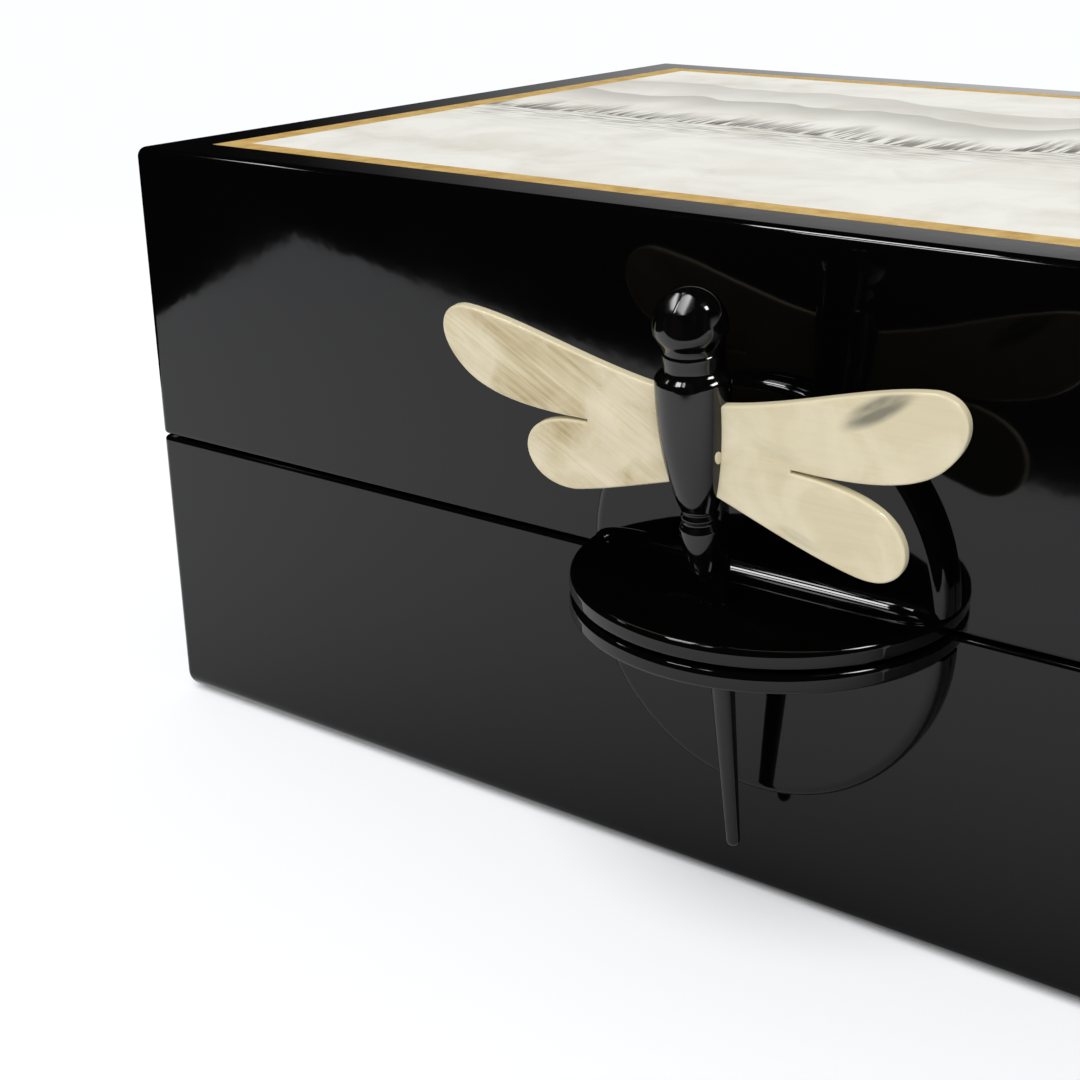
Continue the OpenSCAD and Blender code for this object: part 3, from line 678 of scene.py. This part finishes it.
def lobe_points(start, controls, steps=18):
    """Points along a chain of cubic curves: (1-t)^3 p0 + 3t(1-t)^2 p1 + 3t^2(1-t) p2 + t^3 p3 for each."""
    ends = np.concatenate([[start], controls]).astype(float)
    p0, p1, p2, p3 = (p[:, None, :] for p in (ends[:-1:3], ends[1::3], ends[2::3], ends[3::3]))
    t = (np.arange(1, steps + 1) / steps)[None, :, None]
    curve = (1 - t) ** 3 * p0 + 3 * t * (1 - t) ** 2 * p1 + 3 * t ** 2 * (1 - t) * p2 + t ** 3 * p3
    return curve.reshape(-1, 2)


def unit(vectors):
    """Vectors brought to length 1."""
    return vectors / np.maximum(np.linalg.norm(vectors, axis=1, keepdims=True), 1e-9)


def wing_grid(wing, side):
    """Flat horn sheet, an outline carried through a section, and how near to the edge each point is: the weight
    of the painted highlight along the edge.

    At each outline point the section steps in along the outline's inward direction by r (1 - cos q) while it
    rises by r sin q, and mirrored below.
    """
    s = bpy.context.scene.lacquer_dragonfly
    upper = lobe_points(wing["root"], wing["upper"])
    slit = upper[-1] - [0, SLIT_DROP]
    lower = lobe_points(slit, wing["lower"])
    outline = np.concatenate([[wing["root"]], upper, [slit], lower]) * MM
    along = unit(unit(outline - np.roll(outline, 1, 0)) + unit(np.roll(outline, -1, 0) - outline))
    inward = coords(along[:, 1], -along[:, 0])
    inset, rise = eased(-s.wing / 2, s.wing / 2, s.wing_edge, s.wing_edge, 5).T[..., None]
    x, z = np.moveaxis(outline + inward * inset[..., None], -1, 0)
    return on_pin(coords(x * side, rise - s.body_out, z)), 1 - inset / s.wing_edge + 0 * x


def swells(stations, steps=24):
    """Half a cosine wave from each station of a row to the next, so that every one is a crest or a hollow."""
    z, r = stations.T[..., None]
    t = np.linspace(0, 1, steps, endpoint=False)
    wave = (1 - np.cos(np.pi * t)) / 2
    return coords(z[:-1] + np.diff(z, axis=0) * t, r[:-1] + np.diff(r, axis=0) * wave).reshape(-1, 2)


def body_grid():
    """Carved body: rings of the stations' radii about an axis that bends back over the pin towards the head.

    The taper from waist to shoulder is part of an ellipse, both ends are quarter ellipses. Two eyes swell out
    of the head: where a ray from the axis meets an eye's sphere further out than the head, the surface follows
    the sphere, joined by a smooth maximum. A nearly flat cut faces each eye: the surface stays inside a plane
    that falls off by the square of the way from the cut's middle over twice the cut's radius, up to a limit.
    """
    s = bpy.context.scene.lacquer_dragonfly
    up = np.linspace(TAIL_STATIONS[-1, 0], HEAD_STATIONS[0, 0], 60, endpoint=False)
    full = np.sqrt(1 - ((HEAD_STATIONS[0, 0] - up) / TAPER_LENGTH) ** 2)
    taper = coords(up, HEAD_STATIONS[0, 1] * full)
    a = np.linspace(0, np.pi / 2, 28)
    (z0, r0), (z1, r1) = TAIL_STATIONS[0], HEAD_STATIONS[-1]
    low = coords(z0 + (BODY_ENDS[0] - z0) * np.sin(a), r0 * np.cos(a))[:0:-1]
    top = coords(z1 + (BODY_ENDS[1] - z1) * np.sin(a), r1 * np.cos(a))
    profile = np.concatenate([low, swells(TAIL_STATIONS), taper, swells(HEAD_STATIONS), top]) * MM
    profile[[0, -1], 1] = 0.0
    turn = np.linspace(0, 2 * np.pi, 96, endpoint=False)
    height, radius = profile[:, :1], profile[:, 1:] + 0 * turn
    eye_x, eye_y, eye_z = (c * MM for c in EYE)
    reach = math.hypot(eye_x, eye_y)
    for way in (math.atan2(eye_y, eye_x), math.atan2(eye_y, -eye_x)):
        chord = s.eye ** 2 - (reach * np.sin(turn - way)) ** 2 - (height - eye_z) ** 2
        sphere = reach * np.cos(turn - way) + np.sqrt(np.maximum(chord, 0))
        gap = np.where((chord > 0) & (np.cos(turn - way) > 0), sphere - radius, -EYE_SOFT)
        blend = np.clip(0.5 + gap / (2 * EYE_SOFT), 0, 1)
        radius = radius + gap * blend + EYE_SOFT * blend * (1 - blend)
    side, tilt = np.radians(EYE_CUT[:2])
    far, crown = EYE_CUT[2] * MM, EYE_CUT[3] * MM
    above = height - HEAD_STATIONS[-1, 0] * MM
    for way in (side - np.pi / 2, -side - np.pi / 2):
        across = np.maximum(np.cos(tilt) * np.cos(turn - way), CUT_LEAST)
        plane = (far - np.sin(tilt) * above) / across
        fall = np.clip((plane ** 2 + above ** 2 - far ** 2) / (2 * crown), 0, EYE_FALL * MM)
        cut = np.maximum(plane - fall / across, 0)
        radius = np.where(np.cos(turn - way) > CUT_REACH, np.minimum(radius, cut), radius)
    axis = s.head_back * smooth((height / MM - HEAD_BEND[0]) / (HEAD_BEND[1] - HEAD_BEND[0])) - s.body_out
    return on_pin(coords(radius * np.cos(turn), radius * np.sin(turn) + axis, height))


def tenon_grid(side):
    """Rounded end of a wing's tenon, which shows at the body's side: a ball stretched along three axes."""
    a = np.linspace(-np.pi / 2, np.pi / 2, 17)
    ball = lathe(coords(np.cos(a), np.sin(a)), 32)
    centre, half = np.array(TENON) * MM
    return on_pin((ball * half + centre) * [side, 1, 1])


def pin_grid():
    """Turned pin: round tip, tapered tail, straight stretch in the shelves, widening stem and round top."""
    s = bpy.context.scene.lacquer_dragonfly
    a = np.linspace(0, np.pi / 2, 12)
    tip = coords(s.tip * np.sin(a), -s.tail + s.tip * (1 - np.cos(a)))
    t = np.linspace(0, 1, 14)[:, None]
    tail = tip[-1] + ([s.pin, -s.straight] - tip[-1]) * t[1:]
    foot, end = np.array([[s.pin, STEM_START], [s.top, s.stem - s.top]])
    top = coords(s.top * np.cos(a), s.stem - s.top + s.top * np.sin(a))[1:]
    profile = np.concatenate([tip, tail, foot + (end - foot) * t, top])
    profile[[0, -1], 0] = 0.0
    return on_pin(lathe(profile, 72))


CLOTH_CORNER = 1 * MM
# First and last ring of a cloth's face, as shares of its shorter side, and the length over which it swells
CLOTH_RINGS = 0.02, 0.46
CROWN_RUN = 12 * MM


def slab_grid(lo, hi, edge, crown):
    """Flat sheet with turned edges: rounded rectangles from the underside over the edge to the crowned top.

    The top rises by crown (1 - exp(-inset / run)).
    """
    inset = np.linspace(*CLOTH_RINGS, 14) * min(hi[0] - lo[0], hi[1] - lo[1])
    top = coords(inset, hi[2] + crown * (1 - np.exp(-inset / CROWN_RUN)))
    bottom = [[inset[-1], lo[2]], [inset[0], lo[2]]]
    section = np.concatenate([bottom, eased(lo[2], hi[2], edge, edge), top])
    return np.swapaxes(outline_grid(lo, hi, CLOTH_CORNER, section), 0, 1)


LINER_EASE = 0.3 * MM


def liner_grid(lo, hi, thick, step, step_z, edge):
    """Suede-covered boards: a section with a set-back lip and a round top, carried round the inside."""
    a = np.linspace(0, np.pi, 13)
    half = (thick - step) / 2
    crest = coords(step + half - half * np.cos(a), hi[2] - edge + edge * np.sin(a))
    section = [[thick, lo[2]], [0, lo[2]]]
    if step > 0:
        section += [[0, step_z - LINER_EASE], [LINER_EASE, step_z], [step, step_z]]
    return outline_grid(lo, hi, INNER_CORNER, np.concatenate([section, crest]))


def operator(cls):
    """Adds the options that all operators share."""
    cls.bl_options = {"REGISTER", "UNDO"}
    return cls


@operator
class LACQUER_OT_shells(bpy.types.Operator):
    """Make the lacquered skins of the lid and the base"""
    bl_idname = "lacquer.shells"
    bl_label = "Lacquered lid and base"

    def execute(self, context):
        s = context.scene.lacquer_shell
        for body, low, high in (("lid", s.lip, s.top), ("base", s.foot, s.lip)):
            walls = [f"{body}_{side}_wall" for side in SIDES]
            lacquer_shell(f"{body}_lacquer_shell", walls, low, high, body == "base", body)
        return {"FINISHED"}


@operator
class LACQUER_OT_carried(bpy.types.Operator):
    """Give the CAD nodes that stay their finishes"""
    bl_idname = "lacquer.carried"
    bl_label = "Finishes of the carried-over pieces"

    def execute(self, context):
        finishes = {
            "lid_top_board": "Polished black lacquer", "base_bottom_board": "Polished black lacquer",
            "picture_panel": "Ink wash on white ground", "base_clasp_screws": "Satin brass",
            "lid_clasp_screws": "Satin brass",
        }
        finishes |= {f"gold_strip_{side}": "Gold leaf" for side in SIDES}
        for node, name in finishes.items():
            ob = frame["nodes"][node]
            if not ob.material_slots:
                ob.data.materials.append(None)
            for material_slot in ob.material_slots:
                material_slot.material = finish(name)
        return {"FINISHED"}


@operator
class LACQUER_OT_clasp(bpy.types.Operator):
    """Make the two half-round brackets of the clasp"""
    bl_idname = "lacquer.clasp"
    bl_label = "Clasp brackets"

    def execute(self, context):
        s = context.scene.lacquer_clasp
        shelf_piece("upper_shelf", "lid", s.hole, 0.0)
        shelf_piece("lower_shelf", "base", s.slot, s.slot_run)
        plate_piece("upper_back_plate", "lid", True)
        plate_piece("lower_back_plate", "base", False)
        return {"FINISHED"}


@operator
class LACQUER_OT_dragonfly(bpy.types.Operator):
    """Make the turned pin, the carved body and the two pairs of wings"""
    bl_idname = "lacquer.dragonfly"
    bl_label = "Dragonfly pin"

    def execute(self, context):
        for name, grid, node, sharp in (("pin_turned", pin_grid(), "dragonfly_pin", 60),
                                        ("body_carved", body_grid(), "dragonfly_body", 180)):
            make_piece(name, [(grid, "around")], HORN, "dragonfly", (node,), sharp=sharp, flat=False)
        for name, side, material in (("left", -1, "Streaked pale horn"), ("right", 1, "Clear pale horn")):
            # edge weights the painted highlight along each wing's rounded edge; the tenon gets none.
            grid, edge = wing_grid(WINGS[name], side)
            tenon = tenon_grid(side)
            edge = np.append(edge, np.zeros(tenon.size // 3))
            make_piece(f"wings_{name}_sheet", [(grid, "around capped"), (tenon, "around")],
                       (material, "pale_horn"), "dragonfly", (f"dragonfly_{name}_wings",), sharp=60, edge=edge)
        return {"FINISHED"}


@operator
class LACQUER_OT_linings(bpy.types.Operator):
    """Line the box with suede and put felt under it"""
    bl_idname = "lacquer.linings"
    bl_label = "Suede linings and felt"

    def execute(self, context):
        s = context.scene.lacquer_lining
        for name, node, look, body, edge, crown, on in (
            ("floor_suede", "base_floor_lining", SUEDE, "base", s.edge / 2, s.crown, "base_bottom_board"),
            ("lid_suede", "lid_lining", SUEDE, "lid", s.edge / 2, 0.0, "lid_top_board"),
            ("foot_felt", "underside_felt", FELT, "base", s.felt_edge, 0.0, "base_bottom_board"),
        ):
            lo, hi = corners(node)
            grid = slab_grid(lo, hi, edge, crown)
            ob = make_piece(name, [(grid, "around capped")], look, body, (node,), sharp=60)
        seam = corners("base_front_wall")[1][2]
        for body, thick, step in (("base", s.board, s.step), ("lid", s.lid_board, 0.0)):
            nodes = [f"{body}_liner_{side}" for side in SIDES]
            lo, hi = corners(*nodes)
            grid = liner_grid(lo, hi, thick, step, seam, s.edge)
            ob = make_piece(f"{body}_suede_wall", [(grid, "along around")], SUEDE, body, nodes, sharp=60)
        return {"FINISHED"}


# Hinges: corners and rounded edges of the leaves, and their lap past the wall's back
LEAF_CORNER, LEAF_EASE, LEAF_LAP = 1.2 * MM, 0.15 * MM, 0.05 * MM
# Tangs from leaf to knuckle: their corners, lap on the leaf, how much thinner they are, distance from the axis
TANG_CORNER, TANG_LAP, TANG_THIN, TANG_END = 0.3 * MM, 1.0 * MM, 0.02 * MM, 0.3 * MM
# Rounded ends of the knuckles; how far the hinge pins stand past them, and how much wider their ends are
KNUCKLE_EASE, PIN_PROUD, PIN_WIDER = 0.3 * MM, 0.7 * MM, 0.5 * MM
# Screw heads: height and rounded rim of the lands beside the slot, their share of a half disc, half the slot
LAND, LAND_EASE, LAND_SHARE, HALF_SLOT = 0.5 * MM, 0.12 * MM, 0.86, 0.25 * MM
# Disc at the bottom of the slot: its share of the head's radius, its underside and its top
DISC_SHARE, DISC_LOW, DISC_TOP = 0.96, -0.6 * MM, -0.2 * MM


def bar_grid(lo, hi, corner):
    """Small plate with round corners and eased edges, as rings from its underside to its top."""
    return np.swapaxes(outline_grid(lo, hi, corner, eased(lo[2], hi[2], LEAF_EASE, LEAF_EASE, 5)), 0, 1)


def barrel_grid(x0, x1, y, z, radius, ease):
    """Barrel along X with eased ends: a lathe profile turned onto its side."""
    side = [radius, 0] + eased(0, x1 - x0, ease, ease, 5) * [-1, 1]
    across, up, along = np.moveaxis(lathe([[0, 0], *side, [0, x1 - x0]], 40), -1, 0)
    return coords(x0 + along, y + across, z + up)


def screw_grids(x, y, z, up, radius, proud):
    """Slotted screw head: two half-round lands either side of the slot, on a disc that fills its bottom."""
    sign = 1 if up else -1
    u, v, w = np.moveaxis(half_disc(radius, LAND, LAND_EASE, LAND_EASE), -1, 0)
    v, w = v * LAND_SHARE + HALF_SLOT, z + sign * (proud - LAND + w)
    lands = [(coords(x + side * v, y + u, w), "along") for side in (-1, 1)]
    r = radius * DISC_SHARE
    disc = lathe([[0, DISC_LOW], [r, DISC_LOW], [r, DISC_TOP], [0, DISC_TOP]], 32)
    return [*lands, (disc * [1, 1, sign] + [x, y, z + sign * proud], "around")]


@operator
class LACQUER_OT_hinges(bpy.types.Operator):
    """Make the two brass butt hinges with their screws"""
    bl_idname = "lacquer.hinges"
    bl_label = "Brass hinges"

    def execute(self, context):
        s = context.scene.lacquer_hinge
        screws = {"base": [], "lid": []}
        for side in ("left", "right"):
            lo, hi = corners(f"hinge_pin_{side}")
            middle, y, z = (lo + hi) / 2
            x0, x1 = lo[0], hi[0]
            third = (x1 - x0 - 2 * s.gap) / 3
            knuckles = {"base": [(x0, x0 + third), (x1 - third, x1)],
                        "lid": [(x0 + third + s.gap, x1 - third - s.gap)]}
            for body, stretches in knuckles.items():
                node = f"hinge_{body}_leaf_{side}"
                wall_lo, wall_hi = corners(f"{body}_back_wall")
                up, back = body == "base", wall_hi[1]
                top = wall_hi[2] if up else wall_lo[2] + s.leaf
                leaf = bar_grid((x0, back - s.leaf_width, top - s.leaf), (x1, back + LEAF_LAP, top),
                                LEAF_CORNER)
                grids = [(leaf, "around capped")]
                for a, b in stretches:
                    tang = bar_grid((a, back - TANG_LAP, top - s.leaf + TANG_THIN),
                                    (b, y - TANG_END, top - TANG_THIN), TANG_CORNER)
                    barrel = barrel_grid(a, b, y, z, s.knuckle, KNUCKLE_EASE)
                    grids += [(tang, "around capped"), (barrel, "around")]
                make_piece(f"{node}_satin", grids, BRASS, body, (node,), sharp=45)
                face = top if up else wall_lo[2]
                for at in (middle - (x1 - x0) / 3, middle + (x1 - x0) / 3):
                    screws[body] += screw_grids(at, back - s.leaf_width / 2, face, up, s.screw, s.proud)
            radius = (hi[2] - lo[2]) / 2 + PIN_WIDER
            ends = barrel_grid(x0 - PIN_PROUD, x1 + PIN_PROUD, y, z, radius, PIN_PROUD)
            make_piece(f"hinge_pin_{side}_satin", [(ends, "around")], BRASS, "base", (f"hinge_pin_{side}",),
                       sharp=45, flat=False)
        for body, grids in screws.items():
            make_piece(f"hinge_{body}_screws_slotted", grids, BRASS, body, (f"hinge_{body}_screws",))
        return {"FINISHED"}


# Camera: place in mm, its right, up and back axes, lens in mm on a sensor of 36 mm, and sideways shift
CAMERA_PLACE = (124.48, -326.8, 170.18)
CAMERA_AXES = ((0.8225, 0.5687, -0.0014), (-0.2067, 0.3013, 0.9308), (0.5298, -0.7653, 0.3654))
CAMERA_LENS, CAMERA_SENSOR, CAMERA_SHIFT = 56.453, 36.0, -0.0556
CAMERA_NEAR = 0.01

# Floor: half its size, height, and the distances over which it turns into a plain white ground
FLOOR_REACH, FLOOR_Z = 6.0, -0.1 * MM
FLOOR_FADE = 0.35, 0.8
FAR_WHITE = (0.98, 1.0, 1.05, 1)

# Soft key: strength, width in degrees, the direction it comes from and its place; and the even fill
KEY_ENERGY, KEY_WIDTH = 2.75, 50
KEY_FROM, KEY_PLACE = (0.1, -0.62, 0.78), (0.2, -1.0, 1.7)
FILL = 0.35

# Dim room: its brightness, the radius of its dome, and the outline in mm of the dim ground round the pale table
DIM = 0.004
DOME = 2.4
TABLE_ROUND = ((-260, 3000), (-404, -300), (-490, -485), (-219, -383), (-45, -335), (250, -300), (3000, -300),
               (3000, -3000), (-3000, -3000), (-3000, 3000))
SURROUND_Z, SHADE_Z = 0.4 * MM, 0.2 * MM
# Pale part of the dome, in degrees: where it sets in and ends round the box, and ends upwards, each with the
# stretch over which it does
PALE_FROM, PALE_TO, PALE_TOP = (-10, 20), (140, 36), (20, 12)
# Shade on the table before the front: its darkest cover, how far it reaches, its share at the left end, its
# extent in x, its near end, and where in x the full shade sets in, with the stretch over which it does
SHADE_COVER, SHADE_RUN, SHADE_LEFT = 0.75, 0.07, 0.25
SHADE_X, SHADE_NEAR, SHADE_FULL = (-0.4, 0.6), -0.36, (-0.25, 0.3)
FRONT_Y = -0.098

# Skylights at one height: extents in x and y with a brightness, and four-cornered ones as a middle with corners
# to the camera's right and ahead, whose brightness goes round the corners
SKYLIGHT_Z = 1.28
SKYLIGHTS = {
    "near_skylight": ((-0.65, -0.41), (-0.66, -0.5), 14.0),
    "far_skylight": ((-0.65, -0.41), (-0.3, -0.13), 22.0),
    "right_skylight": ((0.6, 1.0), (0.0, 0.4), 22.0),
}
SLANTED_SKYLIGHTS = {
    "middle_skylight": ((-0.259, -0.552), ((-0.05, -0.12), (0.11, 0.11), (0.0, 0.1), (-0.096, 0.01))),
    "left_skylight": ((-1.288, -0.268), ((-0.041, -0.136), (0.1, 0.109), (-0.026, 0.096), (-0.09, -0.026))),
}
SLANTED_AXES = ((0.82, 0.57), (-0.57, 0.82))
SLANTED_GLOW = (10.0, 14.0, 5.0, 3.0)


@operator
class LACQUER_OT_stage(bpy.types.Operator):
    """Set the camera, the floor, the lamp and the dim room that the lacquer mirrors"""
    bl_idname = "lacquer.stage"
    bl_label = "Camera, floor and studio light"

    def execute(self, context):
        scene = context.scene
        scene.view_settings.view_transform = "Standard"
        camera = bpy.data.objects.new("camera", bpy.data.cameras.new("camera"))
        scene.collection.objects.link(camera)
        turn = Matrix(CAMERA_AXES).transposed().to_4x4()
        camera.matrix_world = Matrix.Translation([c * MM for c in CAMERA_PLACE]) @ turn
        camera.data.sensor_width = CAMERA_SENSOR
        camera.data.lens = CAMERA_LENS
        camera.data.shift_x = CAMERA_SHIFT
        camera.data.clip_start = CAMERA_NEAR
        scene.camera = camera
        self.floor()
        self.dim_room()
        self.lamp(scene)
        self.world(scene)
        return {"FINISHED"}

    def floor(self):
        """Plain pale floor a little below the felt; far from the box it turns into a plain white ground."""
        material = finish("Plain pale floor")
        nodes, add = material.node_tree.nodes, adder(material.node_tree)
        away = add("VectorMath", (add("TexCoord", output="Object"),), operation="LENGTH")
        far = add("MapRange", (away, *FLOOR_FADE), interpolation_type="SMOOTHSTEP")
        white = add("Emission", {"Color": FAR_WHITE, "Strength": 1.0})
        mixed = add("MixShader", (far, nodes["Principled BSDF"].outputs[0], white))
        fill(nodes["Material Output"], {"Surface": mixed})
        across = np.array([-FLOOR_REACH, FLOOR_REACH])
        points = coords(across, across[:, None], FLOOR_Z)
        mesh_object("floor", points, grid_faces(2, 2).tolist(), material)

    def mirrored(self, name, grid, material, glow, cover=1.0):
        """A sheet of the room from a grid of points, one row meaning one outline; only reflections show it.

        Glow is how bright each point is, cover how much it hides what is behind it.
        """
        rows, cols = grid.shape[:2]
        faces = grid_faces(rows, cols).tolist() if rows > 1 else [list(range(cols))]
        every = np.ones((rows, cols))
        ob = mesh_object(name, grid, faces, material, glow=glow * every, cover=cover * every)
        ob.visible_camera = ob.visible_diffuse = ob.visible_shadow = ob.visible_transmission = False

    def dim_room(self):
        """A dim room that only reflections show.

        It ends the pale table's image in the lacquer and shades it near the box. Behind the box it is pale near
        the table, dimmer to the left and higher up. Skylights give the glints.
        """
        material = bpy.data.materials.new("Dim room")
        material.use_nodes = True
        material.node_tree.nodes.clear()
        add = adder(material.node_tree)
        glow, cover = (add("Attribute", output="Fac", attribute_name=name) for name in ("glow", "cover"))
        light = add("Emission", {"Color": (1, 1, 1, 1), "Strength": glow})
        add("OutputMaterial", {"Surface": add("MixShader", (cover, add("BsdfTransparent"), light))})
        ground = np.insert(np.array(TABLE_ROUND) * MM, 2, SURROUND_Z, axis=1)
        self.mirrored("table_surround", ground[None], material, DIM)
        around, up = np.linspace(0, 360, 121), np.linspace(0, 90, 46)[:, None]
        begin = np.clip((around - PALE_FROM[0]) / PALE_FROM[1], 0, 1)
        end = np.clip((PALE_TO[0] - around) / PALE_TO[1], 0, 1)
        pale = smooth(end * begin) * smooth((PALE_TOP[0] - up) / PALE_TOP[1])
        around, up = np.radians(around), np.radians(up)
        dome = DOME * coords(np.cos(up) * np.cos(around), np.cos(up) * np.sin(around), np.sin(up))
        self.mirrored("room", dome, material, DIM + pale)
        x, y = np.meshgrid(np.linspace(*SHADE_X, 41), np.linspace(SHADE_NEAR, FRONT_Y, 41), indexing="ij")
        share = SHADE_LEFT + (1 - SHADE_LEFT) * smooth((x - SHADE_FULL[0]) / SHADE_FULL[1])
        shade = SHADE_COVER * np.exp((y - FRONT_Y) / SHADE_RUN) * share
        self.mirrored("table_shade", coords(x, y, SHADE_Z), material, DIM, shade)
        for name, (xs, ys, bright) in SKYLIGHTS.items():
            x, y = np.meshgrid(xs, ys, indexing="ij")
            self.mirrored(name, coords(x, y, SKYLIGHT_Z), material, bright)
        for name, (middle, outline) in SLANTED_SKYLIGHTS.items():
            points = np.insert(np.array(middle) + np.array(outline) @ SLANTED_AXES, 2, SKYLIGHT_Z, axis=1)
            self.mirrored(name, points[None], material, np.array(SLANTED_GLOW))

    def lamp(self, scene):
        """A broad soft key from the front, which reflections don't show."""
        key = bpy.data.lights.new("soft_key", "SUN")
        key.energy, key.angle = KEY_ENERGY, math.radians(KEY_WIDTH)
        ob = bpy.data.objects.new("soft_key", key)
        ob.visible_glossy = False
        ob.rotation_euler = Vector(KEY_FROM).to_track_quat("Z", "Y").to_euler()
        ob.location = KEY_PLACE
        scene.collection.objects.link(ob)

    def world(self, scene):
        """White surroundings for the camera and in reflections, and an even fill for everything else."""
        scene.world = bpy.data.worlds.new("Studio")
        scene.world.use_nodes = True
        scene.world.node_tree.nodes.clear()
        add = adder(scene.world.node_tree)
        seen = 0.0
        for kind in ("Camera", "Glossy", "Transmission"):
            seen = add("Math", (seen, add("LightPath", output=f"Is {kind} Ray")), operation="MAXIMUM")
        level = add("MapRange", (seen, 0.0, 1.0, FILL, 1.0))
        add("OutputWorld", {"Surface": add("Background", {"Color": (1, 1, 1, 1), "Strength": level})})


OPERATORS = (LACQUER_OT_stage, LACQUER_OT_shells, LACQUER_OT_carried, LACQUER_OT_clasp, LACQUER_OT_dragonfly,
             LACQUER_OT_linings, LACQUER_OT_hinges)
SETTINGS = {
    "lacquer_shell": ShellSettings, "lacquer_clasp": ClaspSettings, "lacquer_dragonfly": DragonflySettings,
    "lacquer_lining": LiningSettings, "lacquer_hinge": HingeSettings, "lacquer_colours": ColourSettings,
}


class LACQUER_PT_panel(bpy.types.Panel):
    """Sizes, colours and making of the lacquer box"""
    bl_idname = "LACQUER_PT_panel"
    bl_label = "Lacquer Box"
    bl_space_type = "VIEW_3D"
    bl_region_type = "UI"
    bl_category = "Lacquer Box"

    def draw(self, context):
        layout = self.layout
        for name, group in SETTINGS.items():
            column = layout.column(align=True)
            column.label(text=group.__doc__)
            for prop in group.__annotations__:
                column.prop(getattr(context.scene, name), prop)
        for cls in OPERATORS:
            layout.operator(cls.bl_idname)


def register():
    for name, group in SETTINGS.items():
        bpy.utils.register_class(group)
        setattr(bpy.types.Scene, name, PointerProperty(type=group))
    for cls in (*OPERATORS, LACQUER_PT_panel):
        bpy.utils.register_class(cls)


def unregister():
    for cls in (LACQUER_PT_panel, *reversed(OPERATORS)):
        bpy.utils.unregister_class(cls)
    for name, group in SETTINGS.items():
        delattr(bpy.types.Scene, name)
        bpy.utils.unregister_class(group)


def main():
    register()
    for cls in OPERATORS:
        group, name = cls.bl_idname.split(".")
        getattr(getattr(bpy.ops, group), name)()


if __name__ == "__main__":
    main()
